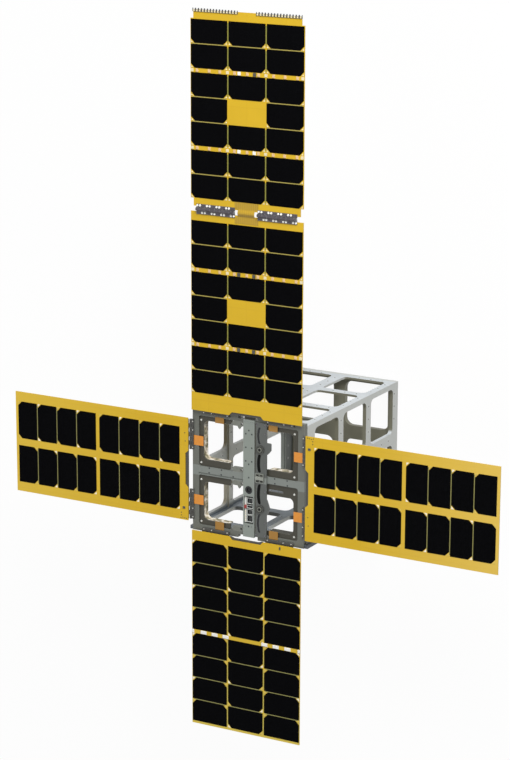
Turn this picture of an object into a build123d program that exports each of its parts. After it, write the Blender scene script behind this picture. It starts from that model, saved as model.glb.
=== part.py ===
"""Tabbed twelve-unit nanosatellite: an open aluminium body with four spread solar wings.

Millimetres. The body stands on its rear end at Z = 0 and looks up, so its front face and the
wings are on top. +X is the right wing, +Y the double top wing, +Z the way the front looks.
Each wing turns on an interleaved pin hinge at the front edge of its side, from spread (as
modelled) to folded back along the body. The top wing's outer panel folds on the inner one.
"""
import math
import os

from build123d import *

os.makedirs("parts", exist_ok=True)

# Body: four walls between two end frames.
HALF = 113.15            # half of the outside width and height
DEPTH = 366.0            # rear face to front face
WALL = 7.0               # thickness of the walls
TOP_WALL = 4.0           # the top one is thinner
END = 10.0               # thickness of the end frames
TOP_DROP = 4.4           # how far the top and bottom walls lie in from the front frame's edges
INSIDE = HALF - WALL
TOP = HALF - TOP_DROP

# Root hinges. The pins lie just outside the front edges of the body.
AXIS_OUT = 3.05          # pin axis outside the wall's face
AXIS_UP = 1.5            # pin axis in front of the front face
AXIS_R = HALF + AXIS_OUT
AXIS_Z = DEPTH + AXIS_UP
KNUCKLE_R = 2.6
PIN_R = 1.0
RUNNING = 0.06           # radial clearance of a pin in the knuckles that turn
SIDE_GAP = 0.2           # clearance at each end of a knuckle

# Boards and cells of the wings.
DECK_UP = 4.0            # underside of the boards in front of the pin axis
BOARD = 1.6
CELL = 0.4
DECK = AXIS_Z + DECK_UP
FACE = DECK + BOARD      # front of the boards, which the cells are glued to
CELL_LONG = 70.2         # cells of the side wings
CELL_WIDE = 71.8         # cells of the upper and lower wings
CELL_SHORT = 41.0
CROP = 7.6               # the two cropped corners on one long side of a cell
CELL_GAP = 1.9           # between rows of one string
STRIP_EXTRA = 5.6        # further gap where a strip of small parts crosses the board
COLUMN_GAP = 2.6
ROW_PITCH = CELL_SHORT + CELL_GAP
COLUMN_PITCH = CELL_WIDE + COLUMN_GAP

# Turn about Z that carries the right-hand side onto each side.
SIDES = {"right": 0, "top": 90, "left": 180, "bottom": 270}
UPRIGHT = ("left", "right")
QUARTERS = ((1, 1), (-1, 1), (-1, -1), (1, -1))
PAST = 1.0               # how far a cutting block runs past the face that it cuts


def slab(x0, x1, y0, y1, z0, z1):
    """Box between two corners."""
    return Pos((x0 + x1) / 2, (y0 + y1) / 2, (z0 + z1) / 2) * Box(x1 - x0, y1 - y0, z1 - z0)


def mirrored(sign, low, high):
    """A span on the positive or the negative side of the middle, low end first."""
    return sorted((sign * low, sign * high))


def plate(points, z0, z1):
    """Flat plate with a straight-sided outline."""
    outline = Polyline(*points, close=True)
    return Pos(0, 0, z0) * extrude(make_face(outline), amount=z1 - z0)


def rounded(x0, x1, y0, y1, z0, z1, r):
    """Box whose upright edges are rounded."""
    shape = RectangleRounded(x1 - x0, y1 - y0, r)
    return Pos((x0 + x1) / 2, (y0 + y1) / 2, z0) * extrude(shape, amount=z1 - z0)


def quarter(sx, sy, x0, x1, y0, y1, z0, z1, r):
    """Rounded block in one quarter of the front, from distances to the middle."""
    xs = mirrored(sx, x0, x1)
    ys = mirrored(sy, y0, y1)
    return rounded(xs[0], xs[1], ys[0], ys[1], z0, z1, r)


def rod_y(x, z, y0, y1, r):
    """Cylinder along Y."""
    return Pos(x, (y0 + y1) / 2, z) * Rot(90, 0, 0) * Cylinder(r, y1 - y0)


def rod_x(y, z, x0, x1, r):
    """Cylinder along X."""
    return Pos((x0 + x1) / 2, y, z) * Rot(0, 90, 0) * Cylinder(r, x1 - x0)


def disc(x, y, z0, z1, r):
    """Upright cylinder."""
    return Pos(x, y, (z0 + z1) / 2) * Cylinder(r, z1 - z0)


def on_side(shape, side):
    """Carry a shape built on the right-hand side to another side."""
    return Rot(0, 0, SIDES[side]) * shape


def save(node, *solids):
    """Write one node, of one solid or of several that do not touch."""
    pieces = []
    for solid in solids:
        pieces.extend(solid.solids())
    part = pieces[0] if len(pieces) == 1 else Compound(children=pieces)
    export_step(part, f"parts/{node}.step")


# The four walls. Each has two rows of three windows beside a middle post. The upright ones have
# ribs inside; the left one has its wide rail at the rear and rounder windows.
FRONT_RAIL, REAR_RAIL = 38.0, 21.0       # front face to the first windows, last windows to the rear face
RIB = 19.0                               # between one window and the next
WINDOW_COUNT = 3
WINDOW_R, LEFT_R = 10.0, 13.0
RAIL = 14.65                             # rails along the long edges of the body
LOW_RAIL = 17.8                          # the lower rail of an upright wall
# Edges of each wall's middle post, along the wall in the direction of its turn.
POSTS = {"right": (-9.0, 13.0), "top": (-12.0, 12.0), "left": (-11.5, 9.0), "bottom": (0.0, 16.0)}
# How far an upright wall's ribs stand in: between two windows, and at the rear rail.
FLANGES = {"right": (1.0, 4.0), "left": (3.0, 3.0)}
FLANGE_STEP = 2.0                        # from a window's edge to the rib beside it
CORNER_GAP = 0.3                         # between the ribs of neighbouring walls
EDGE_NOTCH_X, EDGE_NOTCH_IN = 20.0, 6.15  # finger notch in the top and bottom front edges
EDGE_NOTCH_DEEP = 24.0


def window_rows(side):
    """Low and high edge of the two rows of windows in a wall."""
    low, high = POSTS[side]
    rails = {"right": (LOW_RAIL, RAIL), "left": (RAIL, LOW_RAIL)}
    rail_low, rail_high = rails.get(side, (RAIL, RAIL))
    return (rail_low - HALF, low), (high, HALF - rail_high)


def wall_ends(side):
    """Low and high end of a wall along its side; the upright ones stop at the top wall's face."""
    return {"right": (-HALF, TOP), "left": (-TOP, HALF)}.get(side, (-INSIDE, INSIDE))


def wall(side):
    """One wall, built on the right-hand side and carried to its own."""
    low_end, high_end = wall_ends(side)
    drop = 0 if side in UPRIGHT else TOP_DROP
    thick = TOP_WALL if side == "top" else WALL
    inner, outer = HALF - drop - thick, HALF - drop
    body = slab(inner, outer, low_end, high_end, END, DEPTH - END)
    rib_reach = INSIDE - TOP_DROP - CORNER_GAP
    front_rail, rear_rail, radius = FRONT_RAIL, REAR_RAIL, WINDOW_R
    if side == "left":
        front_rail, rear_rail, radius = REAR_RAIL, FRONT_RAIL, LEFT_R
    window = (DEPTH - front_rail - rear_rail - RIB * (WINDOW_COUNT - 1)) / WINDOW_COUNT
    for i in range(WINDOW_COUNT):
        far = DEPTH - front_rail - (window + RIB) * i - window
        last = i == WINDOW_COUNT - 1
        next_rail = rear_rail - END if last else RIB - FLANGE_STEP
        if side in UPRIGHT:
            flange = FLANGES[side][1 if last else 0]
            body += slab(inner - flange, inner, -rib_reach, rib_reach, far - next_rail, far - FLANGE_STEP)
        for low, high in window_rows(side):
            hole = extrude(RectangleRounded(window, high - low, radius), amount=thick + 2 * PAST)
            body -= Pos(inner - PAST, (low + high) / 2, far + window / 2) * Rot(0, 90, 0) * hole
    if side not in UPRIGHT:
        notch_floor = DEPTH - EDGE_NOTCH_DEEP
        body -= slab(inner - PAST, outer + PAST, -EDGE_NOTCH_X, EDGE_NOTCH_X, notch_floor, DEPTH)
    return on_side(body, side)


for side in SIDES:
    save(f"wall_{side}", wall(side))

# Tabs along the two lower edges, which a dispenser clamps.
TAB_OUT, TAB_HIGH = 6.55, 6.35
TAB_SHORT = 2.0                          # how far the tabs stop behind the front face
tabs = []
for sign in (1, -1):
    xs = mirrored(sign, HALF, HALF + TAB_OUT)
    tabs.append(slab(xs[0], xs[1], -HALF, TAB_HIGH - HALF, 0, DEPTH - TAB_SHORT))
save("dispenser_tabs", *tabs)

# End frames. The front one has four windows round a narrow post and a grooved beam.
POST, BEAM, BEAM_CUT = 8.5, 8.0, 3.5
FRAME_SIDE, FRAME_EDGE = 12.65, 11.65    # outer bars at the sides, and at the top and bottom
FRAME_X, FRAME_Y = HALF - FRAME_SIDE, HALF - FRAME_EDGE
FRAME_R = 4.0
GROOVE_LOW, GROOVE_HIGH, GROOVE_DEEP = -6.2, -4.0, 1.6
front = slab(-HALF, HALF, -HALF, HALF, DEPTH - END, DEPTH)
SLIT_QUARTER = (1, -1)                   # the quarter whose bracket has a slit


def beam_edge(sx, sy):
    """How far the beam reaches from the middle in one quarter."""
    return BEAM - BEAM_CUT if (sx, sy) == SLIT_QUARTER else BEAM


for sx, sy in QUARTERS:
    front -= quarter(sx, sy, POST, FRAME_X, beam_edge(sx, sy), FRAME_Y, DEPTH - END - PAST, DEPTH + PAST,
                     FRAME_R)
for sign in (1, -1):
    ys = mirrored(sign, HALF - EDGE_NOTCH_IN, HALF + PAST)
    front -= slab(-EDGE_NOTCH_X, EDGE_NOTCH_X, ys[0], ys[1], DEPTH - END - PAST, DEPTH + PAST)
front -= slab(-FRAME_X, -POST, GROOVE_LOW, GROOVE_HIGH, DEPTH - GROOVE_DEEP, DEPTH + PAST)
save("front_frame", front)

REAR_BAR, REAR_BEAM, REAR_R = 14.0, 13.0, 15.0
REAR_POST = {1: 8.0, -1: 16.0}           # how far the upright of the cross reaches right and left
BOLT_IN_X, BOLT_IN_Y, BOLT_R = 23.15, 10.55, 1.65
BOLT_X, BOLT_Y = HALF - BOLT_IN_X, HALF - BOLT_IN_Y
rear = slab(-HALF, HALF, -HALF, TOP, 0, END)
rear_far = HALF - REAR_BAR
for sx, sy in QUARTERS:
    rear -= quarter(sx, sy, REAR_POST[sx], rear_far, REAR_BEAM, rear_far, -PAST, END + PAST, REAR_R)
    rear -= disc(sx * BOLT_X, sy * BOLT_Y, -PAST, END + PAST, BOLT_R)
save("rear_frame", rear)

# Dark brackets in the four front windows, open towards the spine, each on a pale liner.
ARM_START = 37.0                         # where the arms stop, from the middle
ARM_SIDE, ARM_BEAM, ARM_EDGE = 10.0, 12.5, 9.0
ARM_LESS = 2.0                           # how much slimmer the left brackets' side arms are
BRACKET_T, BRACKET_BACK, LINER_T = 3.0, 2.5, 14.0
LINER_W = 4.0                            # width of the liner round the opening
ARM_R, OPENING_R = FRAME_R + 0.2, 10.0
# The lower right bracket has a wider arm with a slit at the beam, and no liner there.
SLIT_EXTRA, SLIT_IN, SLIT_W = 4.6, 7.0, 4.2
SLIT_X, SLIT_LONG = 40.0, 30.0


def arms(sx, sy, lined, z0, z1):
    """C-shaped plate in one quarter; a lining is a narrow band round the same opening."""
    side_arm = ARM_SIDE - (ARM_LESS if sx < 0 else 0)
    x1, y0, y1 = FRAME_X - side_arm, BEAM + ARM_BEAM, FRAME_Y - ARM_EDGE
    if (sx, sy) == SLIT_QUARTER:
        y0 += SLIT_EXTRA
    start, x2, low, high = ARM_START, FRAME_X, beam_edge(sx, sy), FRAME_Y
    if lined:
        start, x2, low, high = ARM_START + LINER_W, x1 + LINER_W, y0 - LINER_W, y1 + LINER_W
    block = quarter(sx, sy, start, x2, low, high, z0, z1, ARM_R)
    plate_left = block - quarter(sx, sy, POST, x1, y0, y1, z0 - PAST, z1 + PAST, OPENING_R)
    if (sx, sy) != SLIT_QUARTER:
        return plate_left
    if lined:
        return plate_left - slab(POST, x1, -y0 - PAST, 0, z0 - PAST, z1 + PAST)
    slit_top = -BEAM - SLIT_IN
    return plate_left - slab(SLIT_X, SLIT_X + SLIT_LONG, slit_top - SLIT_W, slit_top, z0 - PAST, z1 + PAST)


BRACKET_FRONT = DEPTH - BRACKET_BACK
LINER_FRONT = BRACKET_FRONT - BRACKET_T
LINER_BACK = LINER_FRONT - LINER_T
save("window_rings", *[arms(sx, sy, False, LINER_FRONT, BRACKET_FRONT) for sx, sy in QUARTERS])
save("window_liners", *[arms(sx, sy, True, LINER_BACK, LINER_FRONT) for sx, sy in QUARTERS])

# Small clips between the bars and the post, left of the spine, each with a square eye.
CLIP_REACH, CLIP_T = 32.0, 5.0
CLIP_FLAT = 0.6                          # straight part of a clip's end between its corners
CLIP_HIGH = 2 * ARM_R + CLIP_FLAT
CLIP_EYE, CLIP_EYE_IN = 3.6, 3.0
TOOTH_X, TOOTH_HALF, TOOTH_LONG = 18.0, 4.0, 5.5  # pointed tooth under the upper clip of each window
clips = []
for sy in (1, -1):
    for low, high in ((BEAM, BEAM + CLIP_HIGH), (FRAME_Y - CLIP_HIGH, FRAME_Y)):
        clip = quarter(-1, sy, POST, CLIP_REACH, low, high, DEPTH - CLIP_T, DEPTH, ARM_R)
        xs = mirrored(-1, POST + CLIP_EYE_IN, POST + CLIP_EYE_IN + CLIP_EYE)
        mid = sy * (low + high) / 2
        clip -= slab(xs[0], xs[1], mid - CLIP_EYE / 2, mid + CLIP_EYE / 2,
                     DEPTH - CLIP_T - PAST, DEPTH + PAST)
        if (sy > 0) == (low > BEAM):
            edge = low if sy > 0 else -high
            tooth = [(-TOOTH_X - TOOTH_HALF, edge + PAST), (-TOOTH_X, edge - TOOTH_LONG),
                     (-TOOTH_X + TOOTH_HALF, edge + PAST)]
            clip += plate(tooth, DEPTH - CLIP_T, DEPTH)
        clips.append(clip)
save("spine_clips", *clips)

# Spine: the pale service plate down the middle of the front.
SPINE_AT, SPINE_X, SPINE_T = 4.4, 11.2, 5.0   # middle, half width and thickness
SPINE_SHORT = 5.35                       # from the spine's ends to the edges of the front
SPINE_Y = HALF - SPINE_SHORT
SPINE_FLOOR = 1.5                        # what is left under the small holes
SPINE_FRONT = DEPTH + SPINE_T
PORT_Y, PORT_R, PORT_T = -20.5, 7.5, 4.2
PORT_BORE, PORT_PIN = 4.6, 1.6
BAY_X, BAY_LOW, BAY_HIGH = 9.4, -83.0, -32.0
FOLD_IN, FOLD_W, FOLD_DEEP = 4.3, 1.0, 0.8
FOLD_Y = SPINE_Y - FOLD_IN
# Small holes: x from the spine's middle, y, radius.
SPINE_HOLES = (
    (0, 89, 1.3), (-6, 82.5, 1.2), (6, 82.5, 1.2), (-6, 57.5, 1.2), (6, 57.5, 1.2),
    (-6, 32.5, 1.2), (6, 32.5, 1.2), (0, 27, 1.3), (0, 2.5, 1.4),
    (-6, -88, 0.9), (0, -88, 1.8), (6, -88, 0.9),
)
spine_left, spine_right = SPINE_AT - SPINE_X, SPINE_AT + SPINE_X
bay_left, bay_right = SPINE_AT - BAY_X, SPINE_AT + BAY_X
spine = slab(spine_left, spine_right, -SPINE_Y, SPINE_Y, DEPTH, SPINE_FRONT)
for x, y, r in SPINE_HOLES:
    spine -= disc(SPINE_AT + x, y, DEPTH + SPINE_FLOOR, SPINE_FRONT + PAST, r)
spine -= disc(SPINE_AT, PORT_Y, DEPTH - PAST, SPINE_FRONT + PAST, PORT_R)
spine -= slab(bay_left, bay_right, BAY_LOW, BAY_HIGH, DEPTH - PAST, SPINE_FRONT + PAST)
spine -= slab(spine_left, spine_right, FOLD_Y, FOLD_Y + FOLD_W, SPINE_FRONT - FOLD_DEEP,
              SPINE_FRONT + PAST)
save("spine_plate", spine)

port = disc(SPINE_AT, PORT_Y, DEPTH, DEPTH + PORT_T, PORT_R)
port -= disc(SPINE_AT, PORT_Y, DEPTH + SPINE_FLOOR, DEPTH + PORT_T + PAST, PORT_BORE)
port += disc(SPINE_AT, PORT_Y, DEPTH + SPINE_FLOOR - PAST, DEPTH + PORT_T - PAST, PORT_PIN)
save("umbilical_port", port)

# Sockets in the service bay: centre y and height of each.
SOCKETS = ((-40.5, 10.5), (-51.5, 6.0), (-61.3, 10.0), (-73.5, 12.5))
SOCKET_IN, SOCKET_W, SOCKET_T = 5.4, 12.0, 3.6   # from the bay's left side, width, height
SOCKET_RIM, SOCKET_RECESS = 1.4, 2.2
socket_x = bay_left + SOCKET_IN
sockets = []
for y, height in SOCKETS:
    top = DEPTH + SOCKET_T
    half_hole = height / 2 - SOCKET_RIM
    socket = slab(socket_x, socket_x + SOCKET_W, y - height / 2, y + height / 2, DEPTH, top)
    socket -= slab(socket_x + SOCKET_RIM, socket_x + SOCKET_W - SOCKET_RIM, y - half_hole, y + half_hole,
                   top - SOCKET_RECESS, top + PAST)
    sockets.append(socket)
save("service_sockets", *sockets)

STRIP_IN, STRIP_W, STRIP_T, STRIP_SHORT = 0.3, 3.4, 2.6, 2.0
strip_x = bay_left + STRIP_IN
strip_low, strip_high = BAY_LOW + STRIP_SHORT, BAY_HIGH - STRIP_SHORT
save("status_strip", slab(strip_x, strip_x + STRIP_W, strip_low, strip_high, DEPTH, DEPTH + STRIP_T))
PLUG_Y, PLUG_W, PLUG_H, PLUG_T, PLUG_R = -52.0, 4.8, 6.2, 2.2, 1.2
plug = rounded(strip_x, strip_x + PLUG_W, PLUG_Y - PLUG_H / 2, PLUG_Y + PLUG_H / 2,
               DEPTH + STRIP_T, DEPTH + STRIP_T + PLUG_T, PLUG_R)
save("arming_plug", plug)

# Release unit beside the spine, which holds the folded wings down until they are let go.
UNIT_GAP, UNIT_W, UNIT_T = 0.8, 22.6, 3.0
UNIT_X = spine_right + UNIT_GAP
UNIT_SHORT = 8.15                        # from the unit's ends to the edges of the front
UNIT_Y = HALF - UNIT_SHORT
SLOT_SHORT = 8.0                         # from the outer slots to the unit's ends
UNIT_END, UNIT_FRONT = UNIT_X + UNIT_W, DEPTH + UNIT_T
HUBS = (56.5, -53.0)
HUB_IN, HUB_R, HUB_T = 10.0, 8.0, 2.2
HUB_X = UNIT_X + HUB_IN
HUB_MOAT, HUB_BOSS, HUB_BORE = 5.6, 4.4, 2.2
BOSS_UP, MOAT_DEEP = 1.0, 1.0
# Curved slots for the leaf springs: lower y, upper y, bow towards the spine.
SLOT_END = UNIT_Y - SLOT_SHORT
SLOTS = ((14.5, 47.5, 2.2), (-44.0, -7.0, 2.2), (66.0, SLOT_END, 3.0), (-SLOT_END, -62.5, 3.0))
SLOT_W, SLOT_IN = 4.4, 9.0
SPRING_LOW, SPRING_T = 0.3, 1.5
# Ears on the unit's outer edge: distance beyond the edge, and y.
EARS = (
    ((0, 70), (7.5, 70), (8.7, 69), (8.7, 57), (3, 50), (0, 48)),
    ((0, -33), (2, -37), (6.6, -50), (2.5, -60), (0, -64)),
)


def bowed(low, high, bow, z0, z1):
    """Upright strip bowed towards the spine."""
    mid = (low + high) / 2
    a = UNIT_X + SLOT_IN - SLOT_W / 2
    b = a + SLOT_W
    left = ThreePointArc((a, low), (a - bow, mid), (a, high))
    right = ThreePointArc((b, high), (b - bow, mid), (b, low))
    edges = [left, Line((a, high), (b, high)), right, Line((b, low), (a, low))]
    return Pos(0, 0, z0) * extrude(make_face(edges), amount=z1 - z0)


unit = slab(UNIT_X, UNIT_END, -UNIT_Y, UNIT_Y, DEPTH, UNIT_FRONT)
for ear in EARS:
    unit += plate([(UNIT_END + out, y) for out, y in ear], DEPTH, UNIT_FRONT)
leaf_springs = []
for low, high, bow in SLOTS:
    unit -= bowed(low, high, bow, DEPTH - PAST, UNIT_FRONT + PAST)
    leaf_springs.append(bowed(low, high, bow, DEPTH + SPRING_LOW, DEPTH + SPRING_LOW + SPRING_T))
save("release_plate", unit)
save("release_springs", *leaf_springs)

hubs = []
for y in HUBS:
    rim = UNIT_FRONT + HUB_T
    hub = disc(HUB_X, y, UNIT_FRONT, rim, HUB_R) - disc(HUB_X, y, rim - MOAT_DEEP, rim + PAST, HUB_MOAT)
    hub += disc(HUB_X, y, UNIT_FRONT, rim + BOSS_UP, HUB_BOSS)
    hub -= disc(HUB_X, y, rim - MOAT_DEEP, rim + BOSS_UP + PAST, HUB_BORE)
    hubs.append(hub)
save("release_hubs", *hubs)

CLASP_LOW, CLASP_HIGH, CLASP_W, CLASP_T, CLASP_R = -4.0, 13.0, 17.0, 2.6, 2.0
CLASP_IN = 0.7
GUIDE_IN, GUIDE_W, GUIDE_DEEP = 6.5, 5.5, 1.2
clasp_x, clasp_front = UNIT_X + CLASP_IN, UNIT_FRONT + CLASP_T
clasp = rounded(clasp_x, clasp_x + CLASP_W, CLASP_LOW, CLASP_HIGH, UNIT_FRONT, clasp_front, CLASP_R)
clasp -= slab(UNIT_X + GUIDE_IN, UNIT_X + GUIDE_IN + GUIDE_W, CLASP_LOW - PAST, CLASP_HIGH + PAST,
              clasp_front - GUIDE_DEEP, clasp_front + PAST)
save("release_clasp", clasp)

# Root hinges. Each side has two units of knuckles; every second one belongs to the wing.
UNIT_START, SLOT, COUNT = 37.0, 8.0, 7
HINGE_REACH = UNIT_START + SLOT * COUNT
# Width of the fixed leaf's foot on the front face.
FOOT = {"left": 2.55, "right": 2.55, "top": 7.15, "bottom": 7.15}
FOOT_T = 2.5
FOOT_BACK = 0.05                         # how far the foot stops inside the wall's face
PIN_SHORT = 0.3
LEAF_T, LEAF_W, LEAF_GAP = 2.0, 9.5, 0.1
LEAF_IN = AXIS_R + KNUCKLE_R + LEAF_GAP
LUG_LOW, LUG_IN = 0.5, 1.6               # where a wing's lugs start above the axis, and run into the leaf


def unit_starts():
    """Low end of the two hinge units along a side."""
    return UNIT_START, -HINGE_REACH


def knuckles(start, turning):
    """Low and high end of a unit's knuckles that turn with the wing, or that stay."""
    for i in range(COUNT):
        if (i % 2 == 1) == turning:
            low = start + SLOT * i
            yield low + SIDE_GAP, low + SLOT - SIDE_GAP


def barrel(low, high, bore):
    """One knuckle of a root hinge, and the bore to cut from it."""
    solid = rod_y(AXIS_R, AXIS_Z, low, high, KNUCKLE_R)
    return solid, rod_y(AXIS_R, AXIS_Z, low - SIDE_GAP, high + SIDE_GAP, bore)


def fixed_leaf(side):
    """Body half of a root hinge: a foot on the front frame with its knuckles, in two units."""
    inner = HALF - FOOT[side]
    units = []
    for start in unit_starts():
        unit_leaf = slab(inner, HALF - FOOT_BACK, start, start + SLOT * COUNT, DEPTH, DEPTH + FOOT_T)
        for low, high in knuckles(start, False):
            solid, bore = barrel(low, high, PIN_R)
            unit_leaf += slab(inner, AXIS_R, low, high, DEPTH, DEPTH + FOOT_T)
            unit_leaf += solid
            unit_leaf -= bore
        units.append(on_side(unit_leaf, side))
    return units


# Boards. The side wings' roots stop at the knuckles; the others reach over the body's edge.
OVERHANG = 0.95
NOTCH_DEEP, NOTCH_ROOT, NOTCH_FLOOR = 6.0, 34.5, 29.0
BAND_W = 4.0                             # width of the leaf's band round a notch
ROOT = {side: AXIS_R + KNUCKLE_R if side in UPRIGHT else HALF - OVERHANG for side in SIDES}


def wing_leaf(side):
    """Wing half of a root hinge: a strip under the board, with its knuckles."""
    leaf = slab(LEAF_IN, LEAF_IN + LEAF_W, -HINGE_REACH, HINGE_REACH, DECK - LEAF_T, DECK)
    if side not in UPRIGHT:
        root, floor = ROOT[side], LEAF_IN + PAST
        shape = ((root, -NOTCH_ROOT), (floor, -NOTCH_FLOOR), (floor, NOTCH_FLOOR), (root, NOTCH_ROOT))
        inner_floor = root + NOTCH_DEEP - BAND_W
        hole = ((root - PAST, BAND_W - NOTCH_ROOT), (root, BAND_W - NOTCH_ROOT),
                (inner_floor, BAND_W - NOTCH_FLOOR), (inner_floor, NOTCH_FLOOR - BAND_W),
                (root, NOTCH_ROOT - BAND_W), (root - PAST, NOTCH_ROOT - BAND_W))
        leaf += plate(shape, DECK - LEAF_T, DECK) - plate(hole, DECK - LEAF_T - PAST, DECK + PAST)
    for start in unit_starts():
        for low, high in knuckles(start, True):
            solid, bore = barrel(low, high, PIN_R + RUNNING)
            leaf += slab(AXIS_R, LEAF_IN + LUG_IN, low, high, AXIS_Z + LUG_LOW, DECK)
            leaf += solid
            leaf -= bore
    return on_side(leaf, side)


pins = []
for side in SIDES:
    save(f"hinge_base_{side}", *fixed_leaf(side))
    for start in unit_starts():
        pin = rod_y(AXIS_R, AXIS_Z, start + PIN_SHORT, start + SLOT * COUNT - PIN_SHORT, PIN_R)
        pins.append(on_side(pin, side))
save("root_pins", *pins)

# Amber flexible tails that bring the wings' wiring over the frame, two to a side.
TAIL_W, TAIL_T = 18.0, 0.4
TAIL_LONG = {"right": 18.0, "top": 11.0, "left": 19.5, "bottom": 15.0}
# Middle of each tail along its side, in the direction of the turn.
TAIL_AT = {"right": (52.5, -57.0), "top": (57.7, -50.5), "left": (55.5, -54.5), "bottom": (52.3, -57.6)}
TAIL_GAP = {"right": 0.2, "top": 3.0, "left": 0.2, "bottom": 0.2}   # from a hinge's foot
tails = []
for side in SIDES:
    outer = HALF - FOOT[side] - TAIL_GAP[side]
    for middle in TAIL_AT[side]:
        low = middle - TAIL_W / 2
        tail = slab(outer - TAIL_LONG[side], outer, low, low + TAIL_W, DEPTH, DEPTH + TAIL_T)
        tails.append(on_side(tail, side))
save("flex_tails", *tails)


def board(side, tip, half):
    """Wing board from its root to its tip, with the notch over the hinge, on the right-hand side."""
    root = ROOT[side]
    floor = root + NOTCH_DEEP
    outline = ((root - PAST, -NOTCH_ROOT), (root, -NOTCH_ROOT), (floor, -NOTCH_FLOOR),
               (floor, NOTCH_FLOOR), (root, NOTCH_ROOT), (root - PAST, NOTCH_ROOT))
    return slab(root, tip, -half, half, DECK, FACE) - plate(outline, DECK - PAST, FACE + PAST)


def cell(x, y, width, height, cropped):
    """One cell with its centre at x, y and two cropped corners on the named side."""
    w, h = width / 2, height / 2
    crops = {"low": (0, 1), "right": (1, 2), "high": (2, 3), "left": (3, 0)}[cropped]
    corners = ((-w, -h), (w, -h), (w, h), (-w, h))
    points = []
    for i, (px, py) in enumerate(corners):
        if i not in crops:
            points.append((x + px, y + py))
            continue
        for qx, qy in (corners[i - 1], corners[(i + 1) % 4]):
            length = math.hypot(qx - px, qy - py)
            points.append((x + px + (qx - px) / length * CROP, y + py + (qy - py) / length * CROP))
    return plate(points, FACE, FACE + CELL)


def row_starts(count, strips):
    """Start of each row from the first; a strip of small parts lies before the rows named."""
    return [i * ROW_PITCH + STRIP_EXTRA * sum(i >= row for row in strips) for i in range(count)]


def three_columns(starts, skip, crops):
    """Cells in three columns: row starts along Y, empty places, and each column's cropped side."""
    cells = []
    for row, start in enumerate(starts):
        for column in range(3):
            if (row, column) not in skip:
                x = (column - 1) * COLUMN_PITCH
                cells.append(cell(x, start + CELL_SHORT / 2, CELL_WIDE, CELL_SHORT, crops[column]))
    return cells


# Double top wing: two boards of seven rows, each with one place left empty.
TOP_ROWS = row_starts(7, (2, 5))
TOP_EMPTY = {(3, 1)}
EDGE = 0.9                               # board beyond the outer columns
TOP_HALF = COLUMN_PITCH + CELL_WIDE / 2 + EDGE
INNER_ROOT, INNER_BAND = 33.2, 16.3      # plain board before the first row and after the last
INNER_FIRST = ROOT["top"] + INNER_ROOT
INNER_END = INNER_FIRST + TOP_ROWS[-1] + CELL_SHORT + INNER_BAND
top_inner = on_side(board("top", INNER_END, TOP_HALF), "top")
save("top_inner_panel", top_inner)
save("top_inner_cells", *three_columns([INNER_FIRST + r for r in TOP_ROWS], TOP_EMPTY, ("low",) * 3))
save("top_inner_leaf", wing_leaf("top"))

# Middle hinge, whose pin lies in front of the boards so that the cells fold face to face.
MID_GAP = 4.7                            # from the pin's axis to each board
MID_UP = 3.2                             # pin axis in front of the boards
MID_R, MID_SLOT, MID_COUNT, MID_START = 2.7, 9.6, 8, 22.6
MID_LEAF_IN, MID_LEAF_W, MID_LEAF_T = 2.5, 6.3, 1.5
MID_LUG = 2.9
MID_Y, MID_Z = INNER_END + MID_GAP, FACE + MID_UP
MID_LONG = MID_SLOT * MID_COUNT
MID_STARTS = (-MID_START - MID_LONG, MID_START)

# Outer board: narrow where the hinge and the edge combs are.
OUTER_BAND, OUTER_TIP_BAND = 13.9, 14.9  # narrow strips at the hinge and at the tip
OUTER_NARROW = 5.7                       # how far a narrow strip stands in
OUTER_ROOT, OUTER_LAST = 0.6, 1.4        # wide board before the first row and after the last
outer_start = MID_Y + MID_GAP
outer_wide = outer_start + OUTER_BAND
OUTER_FIRST = outer_wide + OUTER_ROOT
outer_wide_end = OUTER_FIRST + TOP_ROWS[-1] + CELL_SHORT + OUTER_LAST
OUTER_TIP = outer_wide_end + OUTER_TIP_BAND
narrow_half = TOP_HALF - OUTER_NARROW
top_outer = slab(-TOP_HALF, TOP_HALF, outer_wide, outer_wide_end, DECK, FACE)
top_outer += slab(-narrow_half, narrow_half, outer_start, OUTER_TIP, DECK, FACE)
save("top_outer_panel", top_outer)
save("top_outer_cells", *three_columns([OUTER_FIRST + r for r in TOP_ROWS], TOP_EMPTY, ("low",) * 3))

# Spare hinge combs on the far edge of the outer board: a bar with a tooth between slots.
COMB_START, COMB_COUNT, COMB_PITCH = 18.0, 15, 5.9
COMB_BACK, COMB_OUT, COMB_T = 3.5, 2.5, 1.2
COMB_TOOTH = 2.2
combs = []
for sign in (1, -1):
    xs = mirrored(sign, COMB_START, COMB_START + COMB_PITCH * COMB_COUNT)
    comb = slab(xs[0], xs[1], OUTER_TIP - COMB_BACK, OUTER_TIP + COMB_OUT, FACE, FACE + COMB_T)
    for i in range(COMB_COUNT):
        mid = xs[0] + COMB_PITCH * (i + 0.5)
        slot_half = (COMB_PITCH - COMB_TOOTH) / 2
        comb -= slab(mid - slot_half, mid + slot_half, OUTER_TIP, OUTER_TIP + COMB_OUT + PAST,
                     FACE - PAST, FACE + COMB_T + PAST)
    combs.append(comb)
save("edge_combs", *combs)


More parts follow.
